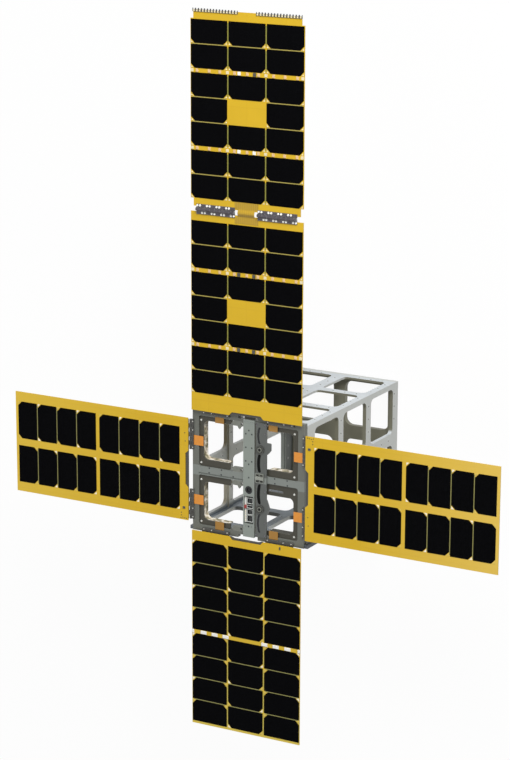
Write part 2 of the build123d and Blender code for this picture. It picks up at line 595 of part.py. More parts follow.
def mid_leaf(outer_half):
    """Half of the middle hinge: two units of a leaf with every second knuckle."""
    sign = 1 if outer_half else -1
    bore = PIN_R + RUNNING if outer_half else PIN_R
    units = []
    for start in MID_STARTS:
        ys = sorted((MID_Y + sign * MID_LEAF_IN, MID_Y + sign * (MID_LEAF_IN + MID_LEAF_W)))
        leaf = slab(start, start + MID_LONG, ys[0], ys[1], FACE, FACE + MID_LEAF_T)
        lug = sorted((MID_Y, MID_Y + sign * MID_LUG))
        for i in range(0 if outer_half else 1, MID_COUNT, 2):
            low = start + MID_SLOT * i + SIDE_GAP
            high = start + MID_SLOT * (i + 1) - SIDE_GAP
            leaf += slab(low, high, lug[0], lug[1], FACE, MID_Z)
            leaf += rod_x(MID_Y, MID_Z, low, high, MID_R)
            leaf -= rod_x(MID_Y, MID_Z, low - SIDE_GAP, high + SIDE_GAP, bore)
        units.append(leaf)
    return units


save("mid_leaf_inner", *mid_leaf(False))
save("mid_leaf_outer", *mid_leaf(True))
mid_pins = []
for start in MID_STARTS:
    mid_pins.append(rod_x(MID_Y, MID_Z, start + PIN_SHORT, start + MID_LONG - PIN_SHORT, PIN_R))
save("mid_pins", *mid_pins)

# Flexible circuit across the middle hinge: two pads and a narrower bridge.
FLEX_GAP, FLEX_T = 0.6, 0.3
FLEX_HALF, BRIDGE_HALF = MID_START - FLEX_GAP, 15.5
FLEX_REACH, PAD_IN, BRIDGE_REACH = 14.2, 7.2, 4.8
flex_half = ((BRIDGE_HALF, BRIDGE_REACH), (FLEX_HALF, PAD_IN), (FLEX_HALF, FLEX_REACH))
flex_right = [(x, MID_Y - y) for x, y in reversed(flex_half)] + [(x, MID_Y + y) for x, y in flex_half]
flex_left = [(-x, y) for x, y in reversed(flex_right)]
save("mid_flex", plate(flex_right + flex_left, FACE, FACE + FLEX_T))

# Side wings: two rows of eight cells in two groups. The left wing is the right one turned half round.
SIDE_ROOT, SIDE_TIP_BAND = 17.5, 5.6
SIDE_MIDDLE, SIDE_MARGIN = 7.0, 18.4     # half of the band between the rows, and the outer band
SIDE_ROWS = row_starts(8, (4,))
side_row = SIDE_MIDDLE + CELL_LONG / 2
side_half = SIDE_MIDDLE + CELL_LONG + SIDE_MARGIN
for side in UPRIGHT:
    first = ROOT[side] + SIDE_ROOT
    side_cells = []
    for start in SIDE_ROWS:
        x = first + start + CELL_SHORT / 2
        side_cells.append(on_side(cell(x, side_row, CELL_SHORT, CELL_LONG, "left"), side))
        side_cells.append(on_side(cell(x, -side_row, CELL_SHORT, CELL_LONG, "right"), side))
    side_tip = first + SIDE_ROWS[-1] + CELL_SHORT + SIDE_TIP_BAND
    save(f"{side}_panel", on_side(board(side, side_tip, side_half), side))
    save(f"{side}_cells", *side_cells)
    save(f"{side}_leaf", wing_leaf(side))

# Bottom wing: eight rows of three cells in two groups.
BOTTOM_ROOT, BOTTOM_TIP_BAND = 18.2, 4.8
BOTTOM_ROWS = row_starts(8, (4,))
bottom_first = ROOT["bottom"] + BOTTOM_ROOT
bottom_tip = bottom_first + BOTTOM_ROWS[-1] + CELL_SHORT + BOTTOM_TIP_BAND
save("bottom_panel", on_side(board("bottom", bottom_tip, TOP_HALF), "bottom"))
bottom_starts = [-bottom_first - r - CELL_SHORT for r in BOTTOM_ROWS]
save("bottom_cells", *three_columns(bottom_starts, (), ("high", "low", "high")))
save("bottom_leaf", wing_leaf("bottom"))
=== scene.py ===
# %% [markdown]
# # A nanosatellite with four spread solar wings
# The imported model is the frame: every solid is already where it belongs, in metres, and moves with its
# own body. This lesson gives the solids their finishes and adds the parts that are too fine for them:
# screws, solder pads, plated holes and the flexible circuit. We load the frame first.

# %% Load the frame
import math

import bmesh
import bpy
from mathutils import Matrix, Vector


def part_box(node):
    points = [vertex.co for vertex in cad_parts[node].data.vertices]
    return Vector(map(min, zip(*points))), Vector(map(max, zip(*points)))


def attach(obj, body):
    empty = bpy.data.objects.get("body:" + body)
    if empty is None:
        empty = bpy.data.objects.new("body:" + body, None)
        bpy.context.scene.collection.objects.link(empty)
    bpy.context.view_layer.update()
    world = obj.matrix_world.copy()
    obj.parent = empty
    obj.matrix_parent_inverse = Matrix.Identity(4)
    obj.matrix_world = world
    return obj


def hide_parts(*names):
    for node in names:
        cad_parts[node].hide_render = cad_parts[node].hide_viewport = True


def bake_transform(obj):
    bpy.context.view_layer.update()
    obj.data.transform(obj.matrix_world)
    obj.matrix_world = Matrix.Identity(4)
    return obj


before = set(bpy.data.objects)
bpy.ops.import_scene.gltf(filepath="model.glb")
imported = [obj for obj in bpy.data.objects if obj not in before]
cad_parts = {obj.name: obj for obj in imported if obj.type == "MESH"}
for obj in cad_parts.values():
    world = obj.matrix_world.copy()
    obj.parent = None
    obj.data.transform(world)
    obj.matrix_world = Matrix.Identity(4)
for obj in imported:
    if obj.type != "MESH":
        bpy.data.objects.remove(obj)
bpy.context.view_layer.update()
scene = bpy.context.scene
MM = 0.001
FRONT, BACK, UP, DOWN = (0, 0, 1), (0, 0, -1), (0, 1, 0), (0, -1, 0)
RIGHT, LEFT = (1, 0, 0), (-1, 0, 0)

# %% [markdown]
# ## Camera
# The photograph is a long-lens view from the front right and a little above. The satellite's
# front looks along +Z and the photograph's up is close to +Y, so the camera is set from the
# way it looks, with a very small roll, instead of with the usual Z-up helpers.

# %% Place the camera
CAMERA_AT = Vector((2.171382, 1.340174, 4.213889))
CAMERA_LOOK = Vector((-0.473030, -0.254144, -0.843596)).normalized()
CAMERA_ROLL, LENS, SENSOR, SIGHT = 0.00334, 123.561, 36.0, 50.0
level_right = CAMERA_LOOK.cross(Vector(UP)).normalized()
level_up = level_right.cross(CAMERA_LOOK)
right = level_right * math.cos(CAMERA_ROLL) + level_up * math.sin(CAMERA_ROLL)
up = right.cross(CAMERA_LOOK)
camera_data = bpy.data.cameras.new("camera")
camera_data.sensor_fit = "VERTICAL"
camera_data.sensor_height = SENSOR
camera_data.lens = LENS
camera_data.clip_end = SIGHT
camera = bpy.data.objects.new("camera", camera_data)
axes = Matrix((right, up, -CAMERA_LOOK)).transposed()
camera.matrix_world = Matrix.Translation(CAMERA_AT) @ axes.to_4x4()
scene.collection.objects.link(camera)
scene.camera = camera
scene.view_settings.view_transform = "Standard"
print("camera right", [round(v, 4) for v in right], "up", [round(v, 4) for v in up])

# %% [markdown]
# ## Node helpers
# The world, the floor and all finishes are node trees. One helper wires a socket or sets it to a
# plain value, one makes a math node, and one tells which rays look straight at a surface.

# %% Node helpers
def wired(tree, socket, value):
    """Link a socket to another one, or set it to a plain value."""
    if isinstance(value, bpy.types.NodeSocket):
        tree.links.new(value, socket)
    else:
        socket.default_value = value


def math_node(tree, operation, a, b=None):
    """Math node whose inputs are sockets or plain numbers."""
    node = tree.nodes.new("ShaderNodeMath")
    node.operation = operation
    for socket, value in zip(node.inputs, (a, b)):
        if value is not None:
            wired(tree, socket, value)
    return node.outputs[0]


def seen_rays(tree):
    """Mask of the rays from the camera, off a mirror or through glass."""
    path = tree.nodes.new("ShaderNodeLightPath").outputs
    rays = math_node(tree, "MAXIMUM", path["Is Camera Ray"], path["Is Glossy Ray"])
    return math_node(tree, "MAXIMUM", rays, path["Is Transmission Ray"])


print("node helpers ready")

# %% [markdown]
# ## Light
# A studio picture on white needs an even base light and one large soft lamp. The world gives
# the base light. To camera, mirror and glass rays it shows plain white, so that the
# background is white without throwing more light on the object.

# %% Light the world
BASE_LIGHT, SHOWN_WHITE = (0.8, 0.2), (1.0, 1.0)     # grey and strength
world = bpy.data.worlds.new("studio")
scene.world = world
world.use_nodes = True
tree = world.node_tree
tree.nodes.clear()
shown = tree.nodes.new("ShaderNodeMixShader")
wired(tree, shown.inputs[0], seen_rays(tree))
for place, (grey, strength) in enumerate((BASE_LIGHT, SHOWN_WHITE)):
    sky = tree.nodes.new("ShaderNodeBackground")
    sky.inputs["Color"].default_value = (grey, grey, grey, 1)
    sky.inputs["Strength"].default_value = strength
    tree.links.new(sky.outputs[0], shown.inputs[place + 1])
out = tree.nodes.new("ShaderNodeOutputWorld")
tree.links.new(shown.outputs[0], out.inputs[0])
print("world: base light", BASE_LIGHT)

# %% [markdown]
# The key lamp hangs above and to the right of the camera, so the top of the body is the
# brightest side, as in the photograph. Its power is worked out from how bright it should
# make a white card at its distance, which is easier to reason about than watts.

# %% Hang the lamps
LAMP_AWAY, LAMP_AIM = 5.0, Vector((0, 0, 0.2))
# Name, direction, side of the square, and the level of a white card.
LAMPS = (("key_lamp", (0.41, 0.75, 0.52), 2.4, 1.15),
         ("fill_lamp", (-0.35, -0.1, 0.93), 3.0, 0.15))
for name, toward, side, card_level in LAMPS:
    light = bpy.data.lights.new(name, "AREA")
    light.shape = "SQUARE"
    light.size = side
    light.energy = card_level * math.pi ** 2 * LAMP_AWAY ** 2
    lamp = bpy.data.objects.new(name, light)
    way = Vector(toward).normalized()
    lamp.location = way * LAMP_AWAY + LAMP_AIM
    lamp.rotation_euler = way.to_track_quat("Z", "Y").to_euler()
    lamp.visible_camera = False
    lamp.visible_glossy = False
    scene.collection.objects.link(lamp)
print("lamps:", [name for name, *_ in LAMPS])

# %% [markdown]
# ## Shared surface effects
# Several finishes need the same small effects: an uneven tone, a grain in the gloss, and
# bright worn edges. Each is a node group, built once, with named inputs. Groups give out
# only colours, masks and heights; the shader itself stays in each material.

# %% Group helpers
FLOAT, COLOR, VECTOR = "NodeSocketFloat", "NodeSocketColor", "NodeSocketVector"


def new_group(name, inputs, **outputs):
    """Empty shader group, with its inputs and its outputs to wire."""
    group = bpy.data.node_groups.new(name, "ShaderNodeTree")
    for in_out, sockets in (("INPUT", inputs), ("OUTPUT", outputs)):
        for label, kind in sockets.items():
            group.interface.new_socket(label, in_out=in_out, socket_type=kind)
    return group, group.nodes.new("NodeGroupInput").outputs, group.nodes.new("NodeGroupOutput").inputs


def coordinates(tree, kind="Object"):
    """Place or normal of the shaded point, in the object's own space."""
    return tree.nodes.new("ShaderNodeTexCoord").outputs[kind]


def axes_of(tree):
    """X, Y and Z of the shaded point."""
    split = tree.nodes.new("ShaderNodeSeparateXYZ")
    tree.links.new(coordinates(tree), split.inputs[0])
    return split.outputs


def dot(tree, a, b):
    """How far one vector goes along another."""
    node = tree.nodes.new("ShaderNodeVectorMath")
    node.operation = "DOT_PRODUCT"
    tree.links.new(a, node.inputs[0])
    tree.links.new(b, node.inputs[1])
    return node.outputs["Value"]


def noise_node(tree, scale, detail=3.0):
    """Noise in object space."""
    noise = tree.nodes.new("ShaderNodeTexNoise")
    noise.inputs["Detail"].default_value = detail
    tree.links.new(coordinates(tree), noise.inputs["Vector"])
    wired(tree, noise.inputs["Scale"], scale)
    return noise.outputs[0]


print("group helpers ready")

# %% [markdown]
# *Uneven tone* multiplies a colour by a slow noise, so that no surface is one flat colour.
# *Grain* is a fine noise for roughness and bump, as left by bead blasting or moulding.

# %% Uneven tone and grain
tone, tone_in, tone_out = new_group(
    "uneven_tone", {"Color": COLOR, "Scale": FLOAT, "Amount": FLOAT}, Color=COLOR)
centred = math_node(tone, "SUBTRACT", noise_node(tone, tone_in["Scale"]), 0.5)
swing = math_node(tone, "MULTIPLY", centred, tone_in["Amount"])
scaled = tone.nodes.new("ShaderNodeVectorMath")
scaled.operation = "SCALE"
tone.links.new(tone_in["Color"], scaled.inputs[0])
tone.links.new(math_node(tone, "ADD", swing, 1.0), scaled.inputs["Scale"])
tone.links.new(scaled.outputs[0], tone_out["Color"])

grain, grain_in, grain_out = new_group(
    "fine_grain", {"Scale": FLOAT, "Base": FLOAT, "Spread": FLOAT}, Roughness=FLOAT, Height=FLOAT)
fine = noise_node(grain, grain_in["Scale"], 2.0)
off = math_node(grain, "MULTIPLY", math_node(grain, "SUBTRACT", fine, 0.5), grain_in["Spread"])
grain.links.new(math_node(grain, "ADD", off, grain_in["Base"]), grain_out["Roughness"])
grain.links.new(fine, grain_out["Height"])
print("groups:", tone.name, grain.name)

# %% [markdown]
# *Worn edges*: handling rubs the finish off sharp edges first. The Bevel node gives the
# normal of a slightly rounded copy of the surface; where that differs from the true normal
# there is an edge nearby. A little noise breaks the line up so that the wear is not even.

# %% Worn edges
WEAR_RADIUS, WEAR_SCALE, WEAR_STRENGTH, WEAR_SAMPLES = 0.0007, 260.0, 5.0, 4
wear, wear_in, wear_out = new_group("worn_edges", {"Radius": FLOAT}, Mask=FLOAT)
soft = wear.nodes.new("ShaderNodeBevel")
soft.samples = WEAR_SAMPLES
wear.links.new(wear_in["Radius"], soft.inputs["Radius"])
true_side = wear.nodes.new("ShaderNodeNewGeometry").outputs["Normal"]
edge = math_node(wear, "SUBTRACT", 1.0, dot(wear, soft.outputs[0], true_side))
uneven = math_node(wear, "MULTIPLY", noise_node(wear, WEAR_SCALE), WEAR_STRENGTH)
broken = math_node(wear, "MULTIPLY", edge, uneven)
wear.links.new(math_node(wear, "MINIMUM", broken, 1.0), wear_out["Mask"])
print("group:", wear.name)

# %% [markdown]
# *Facing* tells which way a face looks: its mask rises to 1 as the normal turns to a given side. The walls
#                                        use it for painted shade and light: their window edges and inner
#                                        faces are coloured darker or paler by the way they look, not by a
#                                        difference in the metal. *Zone* is the same idea for places: its
#                                        mask rises between two distances along an axis, so that one part
#                                        of a solid can look different from the rest.

# %% Facing and zone
def along_group(name, kind):
    """Group whose mask runs from 0 to 1 between two values along a direction."""
    group, inputs, outputs = new_group(
        name, {"Along": VECTOR, "Start": FLOAT, "End": FLOAT}, Mask=FLOAT)
    gate = group.nodes.new("ShaderNodeMapRange")
    group.links.new(dot(group, coordinates(group, kind), inputs["Along"]), gate.inputs["Value"])
    group.links.new(inputs["Start"], gate.inputs["From Min"])
    group.links.new(inputs["End"], gate.inputs["From Max"])
    group.links.new(gate.outputs["Result"], outputs["Mask"])
    return group


facing, zone = along_group("facing", "Normal"), along_group("zone", "Object")
print("groups:", facing.name, zone.name)

# %% [markdown]
# ## Finishes
# A painted or anodised surface is a Principled shader whose colour runs through *uneven
# tone*, is lightened by *worn edges*, and gets its gloss from *grain*. One helper builds that
# chain, and others lay more colours over it. Colours are given as they look on a screen.

# %% Colour helpers
def linear(red, green, blue):
    """Screen colour, 0 to 255, as linear RGBA."""
    values = []
    for channel in (red, green, blue):
        c = channel / 255
        values.append(c / 12.92 if c <= 0.04045 else ((c + 0.055) / 1.055) ** 2.4)
    return (*values, 1.0)


def placed(tree, group, **values):
    """The outputs of a group that is put in a material with its own values."""
    node = tree.nodes.new("ShaderNodeGroup")
    node.node_tree = group
    for label, value in values.items():
        wired(tree, node.inputs[label], value)
    return node.outputs


def toned(tree, color, scale, amount):
    """A screen colour with uneven tone."""
    return placed(tree, tone, Color=linear(*color), Scale=scale, Amount=amount)[0]


def overlaid(tree, mask, color):
    """Lay another colour over a finish where the mask is 1."""
    base = tree.nodes["Principled BSDF"].inputs["Base Color"]
    mix = tree.nodes.new("ShaderNodeMix")
    mix.data_type = "RGBA"
    below, above = [socket for socket in mix.inputs if socket.type == "RGBA"]
    wired(tree, mix.inputs["Factor"], mask)
    wired(tree, below, base.links[0].from_socket)
    wired(tree, above, color)
    tree.links.new([socket for socket in mix.outputs if socket.type == "RGBA"][0], base)


def within(tree, mask, *limits):
    """The mask where it is also in all limits, each a direction, a start and an end."""
    for along, start, end in limits:
        part = placed(tree, zone, Along=along, Start=start, End=end)[0]
        mask = math_node(tree, "MULTIPLY", part, mask)
    return mask


def ramped(tree, value, stops, change):
    """Colour a finish by a ramp of (position, screen colour)."""
    node = tree.nodes.new("ShaderNodeValToRGB")
    ramp = node.color_ramp
    ramp.interpolation = change
    while len(ramp.elements) < len(stops):
        ramp.elements.new(0.9)
    for element, (position, color) in zip(ramp.elements, stops):
        element.position = position
        element.color = linear(*color)
    tree.links.new(value, node.inputs["Fac"])
    tree.links.new(node.outputs["Color"], tree.nodes["Principled BSDF"].inputs["Base Color"])


print("colour helpers ready")

# %% [markdown]
# Each material could be wired by hand, but dozens of hand-made trees drift apart. With one helper
# for the chain a finish is a line of values, and what it needs beyond that is laid over it later.
# The finishes have a table of their own, because the frame's plain materials share some names.

# %% The finish helper
finishes = {}


def finish(name, color, rough, metal=0.0, tone_scale=40.0, tone_amount=0.16, grain_scale=2200.0,
           spread=0.16, bump=0.00002, worn=None):
    """Tree of a new material: grain, uneven tone if it has a colour, worn edges if they have one."""
    material = bpy.data.materials.new(name)
    finishes[name] = material
    material.use_nodes = True
    tree = material.node_tree
    shader = tree.nodes["Principled BSDF"].inputs
    shader["Metallic"].default_value = metal
    if color:
        tree.links.new(toned(tree, color, tone_scale, tone_amount), shader["Base Color"])
    if worn:
        overlaid(tree, placed(tree, wear, Radius=WEAR_RADIUS)[0], linear(*worn))
    roughness, height = placed(tree, grain, Scale=grain_scale, Base=rough, Spread=spread)
    tree.links.new(roughness, shader["Roughness"])
    lift = tree.nodes.new("ShaderNodeBump")
    lift.inputs["Distance"].default_value = bump
    tree.links.new(height, lift.inputs["Height"])
    tree.links.new(lift.outputs[0], shader["Normal"])
    return tree


print("finish helper ready")

# %% [markdown]
# The body is milled aluminium with a clear conversion coat: pale, matt, hardly any mirror. Light and shade
# are painted on its faces by the way each looks: the window edges get painted shade in olive or grey, and
# faces that look up a faint painted sky light. Inside, the left wall gets painted light except on its rear
# and lower rails, which get painted shade, and the floor of the bay gets a bluish painted shade.

# %% Wall finishes
# The first colour is the metal's own, and the third that of its worn edges. The second, a bluish tint on
# faces that look up, is painted light. Of the colours below, the olive, the edge colours, the dark inside
# colour and the blues of the low rail and the bay floor are painted shade. The pale inside colour is
# painted light.
SKIN, PAINTED_SKY_TINT, SKIN_WORN = (205, 208, 205), (208, 214, 218), (232, 234, 232)
PAINTED_SHADE_OLIVE, PAINTED_PALE_SHADE_EDGE, PAINTED_SHADE_EDGE = (126, 125, 110), (186, 182, 166), (104, 108, 110)
PAINTED_LIGHT_INSIDE, PAINTED_SHADE_INSIDE, PAINTED_SHADE_REAR_EDGE = (216, 218, 212), (84, 88, 84), (150, 156, 152)
PAINTED_SHADE_LOW_RAIL, PAINTED_SHADE_BAY_FLOOR = (122, 130, 138), (142, 150, 157)
REAR_RAIL_ZONE, REAR_EDGE_ZONE = (FRONT, 0.040, 0.036), (FRONT, 0.060, 0.050)
LOW_RAIL_ZONE = (UP, -0.090, -0.100)
SKIN_DEPTH = (0.106, 0.104)              # the rear frame is pale only on its outside
TURNED_AWAY, TURNED_TO = 0.35, 0.75      # how far a face looks to a side


def wall_finish(name, *shaded):
    """Milled aluminium with painted shade or light: another colour on faces that look to given sides, or
    on a zone of them.
    """
    tree = finish(name, SKIN, 0.5, 0.25, 18.0, 0.1, worn=SKIN_WORN)
    for side, color, *limits in shaded:
        mask = placed(tree, facing, Along=side, Start=TURNED_AWAY, End=TURNED_TO)[0]
        overlaid(tree, within(tree, mask, *limits), toned(tree, color, 30.0, 0.3))


# Top and right walls: painted shade on the window edges, front and back, and painted sky light on faces
# that look up.
wall_finish("milled_aluminium", (FRONT, PAINTED_SHADE_OLIVE), (BACK, PAINTED_SHADE_OLIVE), (UP, PAINTED_SKY_TINT))
# Left wall: a paler painted shade on its window edges, deeper near the rear. Its inner faces get painted
# light, and its rear and lower rails painted shade.
wall_finish("left_aluminium", (FRONT, PAINTED_PALE_SHADE_EDGE), (FRONT, PAINTED_SHADE_REAR_EDGE, REAR_EDGE_ZONE), (RIGHT, PAINTED_LIGHT_INSIDE),
            (RIGHT, PAINTED_SHADE_INSIDE, REAR_RAIL_ZONE), (RIGHT, PAINTED_SHADE_LOW_RAIL, LOW_RAIL_ZONE))
# Bottom wall: painted shade on its edges, and a bluish painted shade on the bay floor inside.
wall_finish("lower_aluminium", (FRONT, PAINTED_SHADE_EDGE), (BACK, PAINTED_SHADE_EDGE), (UP, PAINTED_SHADE_BAY_FLOOR))
# Rear frame: painted shade on its front faces and its inner faces. Only the outside stays pale.
wall_finish("rear_aluminium", (FRONT, PAINTED_SHADE_OLIVE),
            *((side, PAINTED_SHADE_OLIVE, (side, *SKIN_DEPTH)) for side in (RIGHT, LEFT, UP, DOWN)))
print("wall finishes:", len(finishes))

# %% [markdown]
# The front frame is the same metal as the walls. Its darker grey is painted shade, as on the front faces
# of the walls. The spine is a paler sheet part, and the brackets round the front windows and the release
# unit are dark anodised. The beam across the middle of the frame is paler, and so is the release unit
# where it crosses the beam.

# %% Metal finishes
# Colour, roughness, metal, scale and amount of the uneven tone, and colour of the worn edges.
METALS = {
    "tab_anodised": ((92, 96, 102), 0.5, 0.25, 22.0, 0.16, (150, 154, 158)),
    # The front frame's dark grey is painted shade: it is the walls' metal, coloured darker on its front
    # faces.
    "front_aluminium": ((107, 109, 102), 0.48, 0.25, 22.0, 0.16, (160, 164, 160)),
    "spine_sheet": ((140, 147, 140), 0.45, 0.3, 30.0, 0.14, (186, 192, 188)),
    "dark_anodised": ((66, 64, 55), 0.46, 0.3, 34.0, 0.22, (140, 140, 132)),
    "clasp_metal": ((126, 129, 121), 0.45, 0.3, 160.0, 0.5, (178, 180, 172)),
    "release_anodised": ((93, 96, 93), 0.46, 0.3, 34.0, 0.2, (150, 153, 150)),
    "clip_metal": ((122, 124, 116), 0.46, 0.3, 150.0, 0.5, (150, 152, 148)),
    "hinge_anodised": ((76, 75, 72), 0.42, 0.35, 60.0, 0.24, (158, 160, 158)),
    "hinge_leaf": ((88, 84, 90), 0.34, 0.6, 210.0, 1.1, (176, 176, 180)),
    "clasp_bar": ((152, 155, 146), 0.5, 0.2, 300.0, 0.2, (190, 192, 186)),
}
for name, (*values, worn) in METALS.items():
    finish(name, *values, worn=worn)
finish("bright_steel", (214, 214, 208), 0.26, 0.75, 160.0, 0.14, 3000.0, 0.12)
BEAM_GREY, BANDS = (130, 135, 130), {"front_aluminium": 0.009, "release_anodised": 0.0055}
for name, half in BANDS.items():
    tree = finishes[name].node_tree
    band = within(tree, 1.0, *((side, -half - MM / 2, -half) for side in (UP, DOWN)))
    overlaid(tree, band, toned(tree, BEAM_GREY, 22.0, 0.2))
print("metal finishes:", len(METALS))

# %% [markdown]
# A hub is turned, so its tone goes by its radius: bore, boss, bright ring, moat and rim. The
# radius is measured from the nearer of the two hubs and drives a ramp with hard steps.

# %% Hub finish
HUB_X, HUB_MIDDLE, HUB_APART, PER_CM = 0.0264, 0.00175, 0.05475, 100.0
# The near-black bore and the dark moat are painted shade for the depth of those hollows.
HUB_RINGS = ((0.0, (14, 14, 14)), (0.2, (70, 71, 68)), (0.32, (130, 132, 122)),
             (0.44, (34, 34, 33)), (0.58, (78, 79, 75)))     # radius in cm
tree = finish("hub_metal", None, 0.42, 0.35)
hub_axes = axes_of(tree)
aside = math_node(tree, "SUBTRACT", hub_axes["X"], HUB_X)
above = math_node(tree, "ABSOLUTE", math_node(tree, "SUBTRACT", hub_axes["Y"], HUB_MIDDLE))
above = math_node(tree, "SUBTRACT", above, HUB_APART)
square = math_node(tree, "ADD", *(math_node(tree, "POWER", way, 2.0) for way in (aside, above)))
radius_cm = math_node(tree, "MULTIPLY", math_node(tree, "SQRT", square), PER_CM)
ramped(tree, radius_cm, HUB_RINGS, "CONSTANT")
print("hub rings:", len(HUB_RINGS))

# %% [markdown]
# The liners behind the brackets are bare laminate with a torn, mottled edge: cream, olive and
# pinkish patches. A noise runs through a colour ramp instead of only shading one colour. At the
# foot of the lower right window the edge is dark.

# %% Liner finish
LINER_PATCHES = ((0.36, (108, 104, 82)), (0.46, (168, 160, 132)),
                 (0.54, (204, 188, 166)), (0.62, (240, 236, 224)))
LINER_DARK, DARK_RIGHT, DARK_DOWN = (66, 65, 58), (RIGHT, 0.035, 0.040), (DOWN, 0.070, 0.075)
tree = finish("liner_composite", None, 0.62)
ramped(tree, noise_node(tree, 130.0, 2.0), LINER_PATCHES, "LINEAR")
overlaid(tree, within(tree, 1.0, DARK_RIGHT, DARK_DOWN), linear(*LINER_DARK))
print("liner patches:", len(LINER_PATCHES))

# %% [markdown]
# The plastics are moulded: a fine texture, no mirror. The pads and small parts on the boards
# are tinned or ceramic, with a finer grain.

# %% Plastic and small-part finishes
# Colour, roughness, metal, scale and amount of the uneven tone, and scale and spread of the grain.
SMALL_PARTS = {
    "black_plastic": ((30, 31, 32), 0.5, 0.0, 120.0, 0.3, 4200.0, 0.2),
    "white_plastic": ((232, 232, 226), 0.42, 0.0, 140.0, 0.08, 4200.0, 0.2),
    "red_plastic": ((152, 50, 46), 0.4, 0.0, 160.0, 0.2, 4200.0, 0.2),
    "bright_pad": ((252, 244, 222), 0.32, 0.1, 300.0, 0.1, 5000.0, 0.2),
    "tinned_pad": ((236, 224, 184), 0.32, 0.1, 300.0, 0.2, 5000.0, 0.2),
    "golden_pad": ((216, 192, 116), 0.34, 0.1, 300.0, 0.2, 5000.0, 0.2),
    "coated_pad": ((218, 192, 92), 0.36, 0.1, 300.0, 0.2, 5000.0, 0.2),
    "ceramic_part": ((232, 196, 150), 0.5, 0.0, 300.0, 0.2, 5000.0, 0.16),
    "white_part": ((254, 254, 249), 0.45, 0.0, 300.0, 0.08, 5000.0, 0.16),
    "dark_part": ((72, 72, 70), 0.48, 0.0, 300.0, 0.24, 5000.0, 0.16),
    "olive_trace": ((137, 134, 54), 0.4, 0.1, 420.0, 0.26, 5000.0, 0.2),
    "golden_trace": ((198, 182, 84), 0.4, 0.1, 420.0, 0.26, 5000.0, 0.2),
    "warm_link": ((175, 160, 80), 0.36, 0.3, 420.0, 0.26, 5000.0, 0.2),
    "grey_link": ((142, 138, 80), 0.36, 0.3, 420.0, 0.26, 5000.0, 0.2),
    "socket_rim": ((206, 210, 205), 0.5, 0.0, 300.0, 0.14, 5000.0, 0.16),
    "bore_shadow": ((52, 54, 56), 0.7, 0.0, 400.0, 0.3),
    "cover_black": ((20, 20, 19), 0.8, 0.0, 200.0, 0.3),
}
for name, values in SMALL_PARTS.items():
    finish(name, *values)
MATT = 0.1
matt_shader = finishes["cover_black"].node_tree.nodes["Principled BSDF"]
matt_shader.inputs["Specular IOR Level"].default_value = MATT
print("small-part finishes:", len(SMALL_PARTS))

# %% [markdown]
# ### Boards
# The wing boards are glass-fibre boards under a golden film. Close up they show the weave of the glass and
# the outlines of the copper planes inside, both very faint. Two more groups make those: a crossed wave for
# the weave, and a grid of large plates for the copper. Towards the tips of three wings the film is
# coloured paler, a painted sheen that stands for the light it reflects there.

# %% Weave and copper planes
weave, weave_in, weave_out = new_group("glass_weave", {"Pitch": FLOAT}, Height=FLOAT)
weave_axes, threads = axes_of(weave), []
for axis in ("X", "Y"):
    turns = math_node(weave, "DIVIDE", weave_axes[axis], weave_in["Pitch"])
    threads.append(math_node(weave, "SINE", math_node(weave, "MULTIPLY", turns, 2 * math.pi)))
weave.links.new(math_node(weave, "MULTIPLY", *threads), weave_out["Height"])

PLATES = {"Brick Width": 0.76, "Row Height": 0.44, "Mortar Size": 0.012, "Mortar Smooth": 0.4,
          "Color1": (0, 0, 0, 1), "Color2": (0.45, 0.45, 0.45, 1), "Mortar": (1, 1, 1, 1)}
planes, planes_in, planes_out = new_group("copper_planes", {"Scale": FLOAT}, Mask=FLOAT)
plates = planes.nodes.new("ShaderNodeTexBrick")
plates.offset = 0.0
for label, value in PLATES.items():
    plates.inputs[label].default_value = value
planes.links.new(coordinates(planes), plates.inputs["Vector"])
planes.links.new(planes_in["Scale"], plates.inputs["Scale"])
planes.links.new(plates.outputs["Color"], planes_out["Mask"])
print("groups:", weave.name, planes.name)

# %% [markdown]
# The board is put together in the order of the real one: the film's colour, then the copper planes that
# show through it. Over them lies a painted sheen towards the tips, a paler colour that stands for
# reflected light. The weave takes the place of the grain in the bump, so that it is seen only where light
# grazes the board.

# %% Board finish
BOARD_GOLD, BOARD_DEEP, PLANE_SCALE, PLANE_SHARE = (219, 179, 32), (203, 159, 24), 10.0, 0.22
WEAVE_PITCH, PAINTED_SHEEN_SHARE = 0.0011, 0.6
# Painted sheen: towards the tips the board's colour turns paler, a painted reflection of the light.
PAINTED_SHEEN = ((RIGHT, 0.22, 0.52, (240, 206, 108)), (LEFT, 0.18, 0.5, (240, 204, 76)),
         (DOWN, 0.25, 0.48, (226, 208, 96)))     # side, start, end and colour
tree = finish("golden_board", BOARD_GOLD, 0.42, 0.0, 26.0, 0.12, 1800.0, 0.14)
copper = placed(tree, planes, Scale=PLANE_SCALE)[0]
overlaid(tree, math_node(tree, "MULTIPLY", copper, PLANE_SHARE), linear(*BOARD_DEEP))
for *limit, pale in PAINTED_SHEEN:
    overlaid(tree, within(tree, PAINTED_SHEEN_SHARE, limit), linear(*pale))
tree.links.new(placed(tree, weave, Pitch=WEAVE_PITCH)[0], tree.nodes["Bump"].inputs["Height"])
print("board sheens:", len(PAINTED_SHEEN))

# %% [markdown]
# ### Cells and films
# A space solar cell is nearly black with a trace of blue, under a coated cover glass that mirrors
# far less than window glass. Hair-thin silver fingers cross it the short way, which is along Y on
# the upper and lower wings and along X on the side wings, so the group has a switch for that.
# The tails over the frame are amber film with copper tracks, and the ribbon over the middle hinge
# is a browner film of the same kind. Their tracks are the same group with a wider pitch and share.

